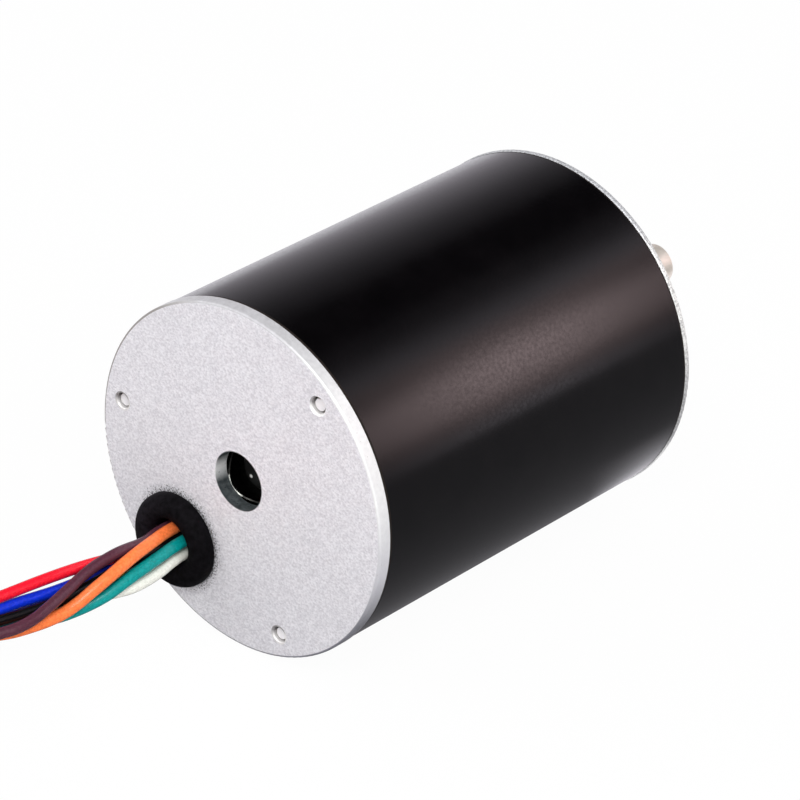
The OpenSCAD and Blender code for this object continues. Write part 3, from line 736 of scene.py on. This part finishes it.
# Steel painted dark as the shade behind the hole, with a painted highlight on one side of its inner
# edge.
def springSteel():
    setup = springFinish
    material, tree, shader = newFinish("springSteel", (0.10, 0.10, 0.10), 1, 0.28)
    roughen(tree, shader, uneven(tree, 3000, 3, 0.22, 0.4))
    tint = uneven(tree, 900, 2)
    # Painted shade over the whole washer, and a painted highlight on its inner edge where the light
    # falls.
    dark = blend(tree, tint, *setup["paintedShade"])
    near = spread(tree, awayFrom(tree, *setup["highlightPlace"]), 1, 0, *setup["highlightReach"])
    shine = times(tree, between(tree, awayFrom(tree), *setup["highlightEdge"]), near)
    paint(tree, shader, blend(tree, shine, dark, setup["shine"]))
    tree.links.new(spread(tree, shine, 1, 0.5, 0, 1), shader.inputs["Metallic"])
    return material


screwPlaces = {
    "circle": 0.0182,
    "angle": 11.4,
    "count": 3,
}
halves = (-0.0300, -0.0290)  # the places along X between the rear half and the front half


def rearHalf(tree):
    return spread(tree, coordinate(tree, "X"), 1, 0, *halves)


# Distance from the nearest tie screw's own line, or from a line beside it.
def awayFromScrews(tree, asideY=0.0, asideZ=0.0):
    nearest = None
    for i in range(screwPlaces["count"]):
        a = math.radians(screwPlaces["angle"] + 360 * i / screwPlaces["count"])
        y, z = screwPlaces["circle"] * math.cos(a), screwPlaces["circle"] * math.sin(a)
        reach = awayFrom(tree, y + asideY, z + asideZ)
        nearest = reach if nearest is None else added(tree, nearest, reach, "MINIMUM")
    return nearest


# Two colours are a darker and a lighter tone, two places the start and end of a change.
tubeFinish = {
    "dye": ((0.0007, 0.0005, 0.0008), (0.0018, 0.0014, 0.0018)),
    "ends": (0.008, 0.004, 0.002),
    "rearEndX": (-0.05075, -0.05065),
    "frontEndX": (-0.00096, -0.00088),
    "roughness": (0.16, 0.23),
    "endsRougher": 0.6,
}


# Black, with dull brown ends where the tube meets the caps.
def tubeAnodised():
    setup = tubeFinish
    material, tree, shader = newFinish("tubeAnodised", (0.0012, 0.001, 0.0013), 0, 0.22, 1.45)
    dye = uneven(tree, 240, 4)
    body = blend(tree, dye, *setup["dye"])
    rearEnd = spread(tree, coordinate(tree, "X"), 1, 0, *setup["rearEndX"])
    ends = added(tree, rearEnd, beyond(tree, "X", *setup["frontEndX"]), "MAXIMUM")
    paint(tree, shader, blend(tree, ends, body, setup["ends"]))
    rough = uneven(tree, 2600, 3, *setup["roughness"])
    roughen(tree, shader, added(tree, rough, times(tree, ends, setup["endsRougher"])))
    bumpFrom(tree, shader, noiseOf(tree, 5200, 2), 0.0000015, 0.5)
    return material


# Colours of the caps' turned edge, with light and shade painted in by height and side.
rimFinish = {
    "white": ((0.74, 0.74, 0.745), (0.83, 0.83, 0.835)),
    "grey": ((0.50, 0.495, 0.515), (0.61, 0.605, 0.63)),
    "paintedUnderShade": ((0.22, 0.22, 0.25), (0.60, 0.595, 0.635)),
    "paintedUnderShadePaler": (-0.0115, -0.0046),
    "whiteAbove": (-0.0046, 0.0045),
    "greyAbove": (0.0150, 0.0205),
    "arris": (0.30, 0.28, 0.27),
    "arrisX": (-0.05258, -0.05252),
    "arrisPastY": (0.005, 0.012),
    "frontUnder": ((0.30, 0.30, 0.305), (0.53, 0.53, 0.54)),
    "frontRight": ((0.48, 0.48, 0.475), (0.84, 0.84, 0.83)),
    "frontTop": ((0.33, 0.335, 0.35), (0.585, 0.59, 0.615)),
    "frontRightAbove": (-0.002, 0.004),
    "frontTopAbove": (0.0135, 0.0165),
    "frontLowest": (1.0, 1.0, 1.0),
    "frontLowestBelow": (-0.012, -0.0085),
}


# The turned edge of the caps, its light and shade painted into its colour: at the rear painted shade
# below, a painted highlight at mid height, painted shade on top and on its left arris; at the front
# a painted highlight at mid height and at the lowest point, painted shade below and on top.
def rimColour(tree):
    setup = rimFinish
    scored = uneven(tree, 1800, 3)
    white = blend(tree, scored, *setup["white"])
    grey = blend(tree, scored, *setup["grey"])
    paintedUnderShade = blend(tree, beyond(tree, "Z", *setup["paintedUnderShadePaler"]), *setup["paintedUnderShade"])
    sides = blend(tree, beyond(tree, "Z", *setup["whiteAbove"]), paintedUnderShade, white)
    sides = blend(tree, beyond(tree, "Z", *setup["greyAbove"]), sides, grey)
    # Painted shade on the rear rim's left arris.
    edge = spread(tree, coordinate(tree, "X"), 1, 0, *setup["arrisX"])
    arris = times(tree, beyond(tree, "Y", *setup["arrisPastY"]), edge)
    sides = blend(tree, arris, sides, setup["arris"])
    speckle = uneven(tree, 4200, 2, 0, 1, 0.36, 0.6)
    # Front rim: painted shade below and on top, a painted highlight at mid height and at its lowest
    # point.
    under = blend(tree, speckle, *setup["frontUnder"])
    right = blend(tree, speckle, *setup["frontRight"])
    top = blend(tree, speckle, *setup["frontTop"])
    front = blend(tree, beyond(tree, "Z", *setup["frontRightAbove"]), under, right)
    front = blend(tree, beyond(tree, "Z", *setup["frontTopAbove"]), front, top)
    lowest = setup["frontLowest"]
    front = blend(tree, beyond(tree, "Z", *setup["frontLowestBelow"]), lowest, front)
    return blend(tree, beyond(tree, "X", *halves), sides, front)


capFinish = {
    "blasted": ((0.68, 0.665, 0.71), (0.97, 0.96, 1.0)),
    "paintedLowShade": ((0.605, 0.592, 0.632), (0.863, 0.854, 0.89)),
    "paintedLowShadeZ": (-0.013, 0.006),
    "metallic": 0.35,
    "roughness": (0.42, 0.6),
    "pitScale": 3500,
    "pitStretch": (1, 1, 1.35),
    "pitDepth": 0.000025,
    "rimRadius": (0.02068, 0.02076),
    "rimMetallic": -0.1,
    "machinedAndShaded": ((0.07, 0.085, 0.09), (0.20, 0.225, 0.235)),
    "machinedRadius": (0.00352, 0.0036),
    "machinedMetallic": (0.6, 0.1),
    "machinedSmoother": 0.15,
    "glint": (1.0, 1.0, 1.0),
    "glintPlace": (0.0034, 0.0003),
    "glintReach": (0.0002, 0.0017),
    # Painted light on the lower wall of each screw hole, painted shade on its upper wall.
    "holeWallLitAndShaded": ((0.88, 0.865, 0.86), (0.40, 0.385, 0.39)),  # below, above
    "holeRadius": (0.00114, 0.00118),
    "holeShadeAside": (0.0002, 0.0006),
    "holeShadeReach": (0.0009, 0.0013),
    "dust": (0.02, 0.018, 0.02),
    "dustReach": (0.0056, 0.0071),
    "dustNearAndFar": (0.6, -0.25),
    "dustDensity": 0.3,
    "dustShown": (0.92, 0.66, 0.7),
}


# Blasted faces, painted darker towards the bottom as shade; a turned rim; a machined centre hole,
# painted dark as the shade inside it, with a painted glint on its wall; painted light and shade in
# the screw holes; and rubber dust beside the grommet.
def capBlasted():
    setup = capFinish
    material, tree, shader = newFinish("capBlasted", (0.76, 0.75, 0.79), 0.35, 0.5)
    pits = noiseOf(tree, setup["pitScale"], 2, setup["pitStretch"])
    cloud = uneven(tree, 420, 3, -0.05, 0.05)
    mottle = added(tree, spread(tree, pits, 0, 1), cloud)
    grain = blend(tree, mottle, *setup["blasted"])
    # The same grain painted darker, as shade, towards the bottom of the caps.
    paintedLowShade = blend(tree, mottle, *setup["paintedLowShade"])
    grain = blend(tree, beyond(tree, "Z", *setup["paintedLowShadeZ"]), paintedLowShade, grain)
    r = awayFrom(tree)
    rim = spread(tree, r, 0, 1, *setup["rimRadius"])
    outside = blend(tree, rim, grain, rimColour(tree))
    rear = rearHalf(tree)
    # The centre hole: machined, and its colour painted dark as the shade inside the hole, with a
    # painted glint on its wall.
    hole = times(tree, spread(tree, r, 1, 0, *setup["machinedRadius"]), rear)
    scratched = uneven(tree, 1500, 3)
    machinedAndShaded = blend(tree, scratched, *setup["machinedAndShaded"])
    glint = spread(tree, awayFrom(tree, *setup["glintPlace"]), 1, 0, *setup["glintReach"])
    machinedAndShaded = blend(tree, glint, machinedAndShaded, setup["glint"])
    holed = blend(tree, hole, outside, machinedAndShaded)
    # Painted light on the lower wall of each screw hole, painted shade on its upper wall.
    sunk = spread(tree, awayFromScrews(tree), 1, 0, *setup["holeRadius"])
    shaded = awayFromScrews(tree, *setup["holeShadeAside"])
    wall = blend(tree, spread(tree, shaded, 1, 0, *setup["holeShadeReach"]), *setup["holeWallLitAndShaded"])
    holed = blend(tree, times(tree, sunk, rear), holed, wall)
    fromGrommet = awayFrom(tree, leadRoute["grommetY"], leadRoute["grommetZ"])
    beside = spread(tree, fromGrommet, *setup["dustNearAndFar"], *setup["dustReach"])
    denser = times(tree, times(tree, beside, rear), setup["dustDensity"])
    dust = spread(tree, added(tree, noiseOf(tree, 5200, 2), denser), 0, *setup["dustShown"])
    paint(tree, shader, blend(tree, dust, holed, setup["dust"]))
    metal = added(tree, times(tree, rim, setup["rimMetallic"]), setup["metallic"])
    shine = times(tree, hole, spread(tree, glint, *setup["machinedMetallic"], 0, 1))
    tree.links.new(added(tree, metal, shine, "MAXIMUM"), shader.inputs["Metallic"])
    rough = uneven(tree, 4100, 1, *setup["roughness"])
    smoother = times(tree, hole, setup["machinedSmoother"])
    roughen(tree, shader, added(tree, rough, smoother, "SUBTRACT"))
    bumpFrom(tree, shader, pits, setup["pitDepth"], 0.6)
    return material


screwFinish = {
    "bright": ((0.90, 0.885, 0.91), (1.0, 0.985, 1.0)),
    "chamfer": (0.14, 0.125, 0.12),
    "chamferRadius": (0.00070, 0.00075),
    "metallic": (0.35, 0.9),
    "roughness": (0.32, 0.5),
}


# Bright round ends, with a painted dark reflection on the chamfer round them.
def screwSteel():
    setup = screwFinish
    material, tree, shader = newFinish("screwSteel", (0.60, 0.60, 0.62), 0.8, 0.4)
    roughen(tree, shader, uneven(tree, 4200, 2, *setup["roughness"]))
    tint = uneven(tree, 1800, 2)
    bright = blend(tree, tint, *setup["bright"])
    # The chamfer painted dark, as a reflection of the hole's wall.
    outer = spread(tree, awayFromScrews(tree), 0, 1, *setup["chamferRadius"])
    chamfer = times(tree, outer, rearHalf(tree))
    paint(tree, shader, blend(tree, chamfer, bright, setup["chamfer"]))
    tree.links.new(spread(tree, chamfer, *setup["metallic"], 0, 1), shader.inputs["Metallic"])
    return material


shaftFinish = {
    "ground": ((0.74, 0.675, 0.60), (0.86, 0.795, 0.72)),
    "grindingStretch": (1, 0.02, 0.02),
    "roughness": (0.36, 0.5),
    "rearEnd": (0.006, 0.0055, 0.005),
    "rearEndX": (-0.0482, -0.0478),
    "shine": (1.0, 0.98, 0.95),
    "glintSpotPlace": (0.00115, -0.00108),
    "glintSpotReach": (0.00016, 0.00026),
    "chamferRadius": (0.00222, 0.0023),
    "chamferLitAbove": (0.0003, 0.0008),
}


# Ground output end; its rear end, in the hole, painted dark as shade, with a painted glint spot and
# a painted highlight on the upper part of its chamfer.
def groundSteel():
    setup = shaftFinish
    material, tree, shader = newFinish("groundSteel", (0.82, 0.75, 0.67), 0.55, 0.4)
    rings = noiseOf(tree, 2600, 3, setup["grindingStretch"])
    tint = uneven(tree, 500, 2)
    ground = blend(tree, tint, *setup["ground"])
    # Painted shade on the rear end, a painted glint spot on it, and a painted highlight on its
    # chamfer's upper part.
    rear = spread(tree, coordinate(tree, "X"), 1, 0, *setup["rearEndX"])
    centre = spread(tree, awayFrom(tree, *setup["glintSpotPlace"]), 1, 0, *setup["glintSpotReach"])
    chamfer = spread(tree, awayFrom(tree), 0, 0.6, *setup["chamferRadius"])
    edge = times(tree, chamfer, beyond(tree, "Z", *setup["chamferLitAbove"]))
    shine = added(tree, centre, edge, "MAXIMUM")
    end = blend(tree, shine, setup["rearEnd"], setup["shine"])
    paint(tree, shader, blend(tree, rear, ground, end))
    roughen(tree, shader, spread(tree, rings, *setup["roughness"]))
    bumpFrom(tree, shader, rings, 0.000002, 0.5)
    return material


# What the housing holds: dark and light tones, and the range of roughness.
plainTones = {
    "insulatorPlastic": ((0.70, 0.66, 0.55), (0.80, 0.76, 0.66), 0.35, 0.5),
    "sensorPlastic": ((0.010, 0.010, 0.011), (0.022, 0.022, 0.024), 0.4, 0.6),
    "rotorSteel": ((0.30, 0.30, 0.32), (0.42, 0.42, 0.44), 0.3, 0.48),
    "magnetCoating": ((0.42, 0.42, 0.44), (0.55, 0.55, 0.57), 0.22, 0.4),
    "bearingSteel": ((0.60, 0.60, 0.61), (0.74, 0.74, 0.75), 0.14, 0.26),
    "cageBrass": ((0.62, 0.42, 0.14), (0.76, 0.55, 0.22), 0.22, 0.38),
    "shieldSteel": ((0.50, 0.50, 0.51), (0.62, 0.62, 0.63), 0.25, 0.4),
    # Near black: painted shade on the rear bearing, deep in the hole.
    "paintedShadeSteel": ((0.010, 0.010, 0.010), (0.028, 0.027, 0.026), 0.3, 0.5),
}


def plainMetal(name):
    dark, light, low, high = plainTones[name]
    material, tree, shader = newFinish(name, dark, 1, low)
    paint(tree, shader, blend(tree, uneven(tree, 1500, 3), dark, light))
    roughen(tree, shader, uneven(tree, 3450, 2, low, high))
    bumpFrom(tree, shader, noiseOf(tree, 4500, 2), 0.000003, 0.5)
    return material


def mouldedPlastic(name):
    dark, light, low, high = plainTones[name]
    material, tree, shader = newFinish(name, dark, 0, low, 1.5)
    paint(tree, shader, blend(tree, uneven(tree, 600, 3), dark, light))
    roughen(tree, shader, uneven(tree, 2100, 2, low, high))
    bumpFrom(tree, shader, noiseOf(tree, 4200, 2), 0.000008, 0.5)
    return material


statorCore = {
    "sheetsAMetre": 2000,
    "seamWidth": (0.38, 0.48),
    "steel": (0.36, 0.36, 0.38),
    "seam": (0.08, 0.075, 0.07),
}


def laminatedSteel():
    setup = statorCore
    material, tree, shader = newFinish("laminatedSteel", (0.30, 0.30, 0.32), 1, 0.4)
    along = times(tree, coordinate(tree, "X"), setup["sheetsAMetre"])
    offMiddle = added(tree, added(tree, along, 0, "FRACT"), 0.5, "SUBTRACT")
    seam = spread(tree, added(tree, offMiddle, 0, "ABSOLUTE"), 0, 1, *setup["seamWidth"])
    paint(tree, shader, blend(tree, seam, setup["steel"], setup["seam"]))
    roughen(tree, shader, uneven(tree, 2400, 2, 0.32, 0.5))
    bumpFrom(tree, shader, added(tree, 1, seam, "SUBTRACT"), 0.00002, 0.6)
    return material


coilWire = {
    "diameter": 0.00042,
    "groove": (0.20, 0.06, 0.02),
    "crest": (0.68, 0.27, 0.10),
}


# The grooves between turns are painted darker as shade, and the crests lighter.
def woundCopper():
    setup = coilWire
    material, tree, shader = newFinish("woundCopper", (0.55, 0.20, 0.07), 0.85, 0.3)
    turns = times(tree, awayFrom(tree), 2 * math.pi / setup["diameter"])
    ridge = spread(tree, added(tree, turns, 0, "SINE"), 0, 1, -1, 1)
    paint(tree, shader, blend(tree, ridge, setup["groove"], setup["crest"]))
    roughen(tree, shader, uneven(tree, 1800, 2, 0.22, 0.4))
    bumpFrom(tree, shader, ridge, 0.00008, 0.8)
    return material


sensorBoard = {
    "trackScale": 420,
    "trackWidth": 0.035,
    "shine": (0.008, 0.085, 0.04),
    "track": (0.02, 0.16, 0.07),
    "cloud": (0.006, 0.07, 0.035),
}


def boardLaminate():
    setup = sensorBoard
    material, tree, shader = newFinish("boardLaminate", (0.01, 0.10, 0.045), 0, 0.35, 1.5)
    tracks = tree.nodes.new("ShaderNodeTexBrick")
    place = tree.nodes.new("ShaderNodeTexCoord")
    mapping = tree.nodes.new("ShaderNodeMapping")
    mapping.inputs["Rotation"].default_value = (0, math.radians(90), 0)
    tracks.inputs["Scale"].default_value = setup["trackScale"]
    tracks.inputs["Mortar Size"].default_value = setup["trackWidth"]
    tree.links.new(place.outputs["Object"], mapping.inputs["Vector"])
    tree.links.new(mapping.outputs["Vector"], tracks.inputs["Vector"])
    copper = blend(tree, tracks.outputs["Fac"], setup["shine"], setup["track"])
    cloudy = uneven(tree, 700, 3, 0, 0.5)
    paint(tree, shader, blend(tree, cloudy, copper, setup["cloud"]))
    roughen(tree, shader, uneven(tree, 1600, 2, 0.28, 0.42))
    bumpFrom(tree, shader, tracks.outputs["Fac"], 0.00002, 0.5)
    return material


# Each material goes on the nodes of its own slot.
def dressNodes():
    bearings = [end + "_bearing_" for end in ("front", "rear")]
    races = [b + part for b in bearings for part in ("outer_race", "inner_race", "balls")]
    shields = [b + side + "_shield" for b in bearings for side in ("inner", "outer")]
    # The rear bearing's parts seen through the hole take the near-black painted shade.
    paintedShade = ["rear_bearing_" + part for part in ("outer_race", "inner_race", "outer_shield")]
    finishes = [
        (tubeAnodised(), ["housing_tube"]),
        (capBlasted(), ["front_cap", "rear_cap"]),
        (screwSteel(), ["tie_screws", "board_screws"]),
        (groundSteel(), ["shaft"]),
        (laminatedSteel(), ["stator_core"]),
        (mouldedPlastic("insulatorPlastic"), ["front_insulator", "rear_insulator"]),
        (woundCopper(), ["coil_%d" % i for i in range(1, 10)]),
        (boardLaminate(), ["sensor_board"]),
        (mouldedPlastic("sensorPlastic"), ["hall_sensor_%d" % i for i in range(1, 4)]),
        (plainMetal("rotorSteel"), ["rotor_core"]),
        (plainMetal("magnetCoating"), ["magnet_%d" % i for i in range(1, 9)]),
        (plainMetal("bearingSteel"), races),
        (plainMetal("cageBrass"), [b + "cage" for b in bearings]),
        (plainMetal("shieldSteel"), shields),
        (plainMetal("paintedShadeSteel"), paintedShade),
    ]
    for material, names in finishes:
        for name in names:
            mesh = nodes[name].data
            mesh.materials.clear()
            mesh.materials.append(material)


# Studio: white floor, lamps, and a graded card overhead that only reflections see.
studio = {
    "floorZ": -0.0211,
    "floorSize": 6.0,
    "floorWhite": 0.97,
    "floorNear": 0.235,
    "floorFar": 1.5,
    "floorWide": 1.1,
    "floorPastX": (-0.004, 0.008),
    "floorPastY": (-0.024, -0.009),
    "floorFadingY": (0.01, 0.05),
    "floorTint": (0.96, 0.94, 1.0),
    "ambient": 0.48,
    "lampAim": (-0.02, 0, 0),
    "lamps": {  # place, size, power, and whether reflections show it
        "keySoftbox": ((-0.75, -0.55, 0.9), 0.6, 10.9, True),
        "fillSoftbox": ((-0.7, 0.75, 0.6), 0.9, 4.8, False),
        "sideSoftbox": ((0.0, -0.75, 0.5), 0.4, 2.7, False),
    },
    "cardRadius": 0.3,
    "cardEnd": 190,
    "cardRows": 76,
    "cardAlong": (-0.08, 1.2),
    "cardFading": (0.74, 1.04, 0.187, 0.232),  # two strengths, and where they start and end
    "cardTop": 7.5,
    "cardStops": [  # degrees from the back, and strength
        (0, 0.84), (8, 0.79), (16, 0.68), (24, 0.585), (32, 0.5), (40, 0.365), (47, 0.26),
        (55, 0.18), (63, 0.1), (69, 0.02), (94, 0.02), (101, 0.1), (109, 0.16), (117, 0.43),
        (125, 0.9), (133, 2.2), (141, 4.9), (149, 7.5), (157, 6.9), (165, 5.3), (172, 2.5),
        (180, 1.9), (190, 1.5),
    ],
    "cardWarm": (1.0, 0.78, 0.79),
    "cardWarmRange": (128, 176),
    "cardCool": (0.97, 0.91, 1.0),
    "stripRange": (122, 136),
    "stripX": 0.2275,
    "stripReach": (0.003, 0.038),
    "stripDimming": 0.9,
}


# White to the camera; to reflections a glow, white beyond the motor and dimmer beside it, a painted
# shadow of the motor.
def whiteForCamera(tree, shader, output):
    rays = tree.nodes.new("ShaderNodeLightPath")
    pastFront = beyond(tree, "X", *studio["floorPastX"])
    lit = times(tree, pastFront, beyond(tree, "Y", *studio["floorPastY"]))
    far, wide = studio["floorFar"], studio["floorWide"]
    fading = spread(tree, coordinate(tree, "Y"), far, wide, *studio["floorFadingY"])
    unlit = spread(tree, lit, studio["floorNear"], 0, 0, 1)
    level = added(tree, times(tree, lit, fading), unlit)
    white = tree.nodes.new("ShaderNodeEmission")
    white.inputs["Strength"].default_value = 1
    mirrored = tree.nodes.new("ShaderNodeEmission")
    mirrored.inputs["Color"].default_value = (*studio["floorTint"], 1)
    tree.links.new(level, mirrored.inputs["Strength"])
    first = tree.nodes.new("ShaderNodeMixShader")
    second = tree.nodes.new("ShaderNodeMixShader")
    passing, seen = rays.outputs["Is Transmission Ray"], rays.outputs["Is Camera Ray"]
    through = added(tree, passing, seen, "MAXIMUM")
    tree.links.new(times(tree, through, studio["floorWhite"]), first.inputs[0])
    tree.links.new(shader.outputs[0], first.inputs[1])
    tree.links.new(white.outputs[0], first.inputs[2])
    tree.links.new(rays.outputs["Is Glossy Ray"], second.inputs[0])
    tree.links.new(first.outputs[0], second.inputs[1])
    tree.links.new(mirrored.outputs[0], second.inputs[2])
    tree.links.new(second.outputs[0], output.inputs["Surface"])


def addFloor():
    half, z = studio["floorSize"] / 2, studio["floorZ"]
    corners = [(-half, -half, z), (half, -half, z), (half, half, z), (-half, half, z)]
    floor = meshPiece("paleFloor", corners, [(0, 1, 2, 3)], smooth=False)
    material, tree, shader = newFinish("paleFloor", (0.75, 0.75, 0.75), 0, 0.9)
    clouds = uneven(tree, 3, 2)
    paint(tree, shader, blend(tree, clouds, (0.74, 0.74, 0.74), (0.76, 0.76, 0.76)))
    whiteForCamera(tree, shader, tree.nodes["Material Output"])
    floor.data.materials.append(material)


# White behind the motor, black overhead, a warm strip in front.
def addGradedCard():
    rows, radius = studio["cardRows"], studio["cardRadius"]
    points = []
    faces = []
    for i in range(rows + 1):
        a = math.radians(studio["cardEnd"] * i / rows)
        for x in studio["cardAlong"]:
            points.append((x, radius * math.cos(a), radius * math.sin(a)))
    for i in range(rows):
        faces.append((2 * i, 2 * i + 1, 2 * i + 3, 2 * i + 2))
    card = meshPiece("gradedCard", points, faces)
    material = bpy.data.materials.new("gradedCard")
    material.use_nodes = True
    tree = material.node_tree
    tree.nodes.remove(tree.nodes["Principled BSDF"])
    x = coordinate(tree, "X")
    angle = added(tree, coordinate(tree, "Z"), coordinate(tree, "Y"), "ARCTAN2")
    turned = added(tree, added(tree, angle, 2 * math.pi), 2 * math.pi, "MODULO")
    ramp = tree.nodes.new("ShaderNodeValToRGB")
    whole = spread(tree, turned, 0, 1, 0, math.radians(studio["cardEnd"]))
    tree.links.new(whole, ramp.inputs["Fac"])
    stops = studio["cardStops"]
    warmFrom, warmTo = studio["cardWarmRange"]
    while len(ramp.color_ramp.elements) < len(stops):
        ramp.color_ramp.elements.new(0.5)
    for element, (degrees, level) in zip(ramp.color_ramp.elements, stops):
        tint = studio["cardWarm"] if warmFrom < degrees < warmTo else studio["cardCool"]
        element.position = degrees / studio["cardEnd"]
        element.color = (*(level / studio["cardTop"] * c for c in tint), 1)
    offStrip = added(tree, added(tree, x, -studio["stripX"]), 0, "ABSOLUTE")
    strip = spread(tree, turned, 0, 1, *(math.radians(a) for a in studio["stripRange"]))
    dimming = spread(tree, offStrip, 0, studio["stripDimming"], *studio["stripReach"])
    dimmed = times(tree, dimming, strip)
    glow = tree.nodes.new("ShaderNodeEmission")
    tree.links.new(ramp.outputs["Color"], glow.inputs["Color"])
    top = times(tree, spread(tree, x, *studio["cardFading"]), studio["cardTop"])
    strength = times(tree, added(tree, 1, dimmed, "SUBTRACT"), top)
    tree.links.new(strength, glow.inputs["Strength"])
    tree.links.new(glow.outputs[0], tree.nodes["Material Output"].inputs["Surface"])
    card.data.materials.append(material)
    card.visible_camera = False
    card.visible_diffuse = False
    card.visible_shadow = False
    card.visible_transmission = False


def addLamp(name, place, size, power, glossy):
    lamp = bpy.data.lights.new(name, "AREA")
    lamp.shape = "RECTANGLE"
    lamp.size, lamp.size_y = size, size
    lamp.energy = power
    holder = bpy.data.objects.new(name, lamp)
    aim = (Vector(studio["lampAim"]) - Vector(place)).normalized()
    turn = aim.to_track_quat("-Z", "Y").to_matrix().to_4x4()
    holder.matrix_world = Matrix.Translation(place) @ turn
    bpy.context.scene.collection.objects.link(holder)
    holder.visible_camera = False
    holder.visible_glossy = glossy


def addWorld():
    world = bpy.data.worlds.new("paleWorld")
    world.use_nodes = True
    bpy.context.scene.world = world
    tree = world.node_tree
    background = tree.nodes["Background"]
    background.inputs["Color"].default_value = (1, 1, 1, 1)
    rays = tree.nodes.new("ShaderNodeLightPath")
    passing, seen = rays.outputs["Is Transmission Ray"], rays.outputs["Is Camera Ray"]
    mirrored = added(tree, rays.outputs["Is Glossy Ray"], passing, "MAXIMUM")
    direct = added(tree, seen, mirrored, "MAXIMUM")
    level = spread(tree, direct, studio["ambient"], 1, 0, 1)
    tree.links.new(level, background.inputs["Strength"])


def addStudio():
    addWorld()
    addFloor()
    addGradedCard()
    for name, lamp in studio["lamps"].items():
        addLamp(name, *lamp)
    bpy.context.scene.view_settings.view_transform = "Standard"


addCamera()
print("camera placed")
addLeads()
print("leads and their tie laid")
rubberGrommet()
springWasher()
print("grommet and washer made")
dressNodes()
print("finishes on the frame's nodes")
addStudio()
print("studio lit")
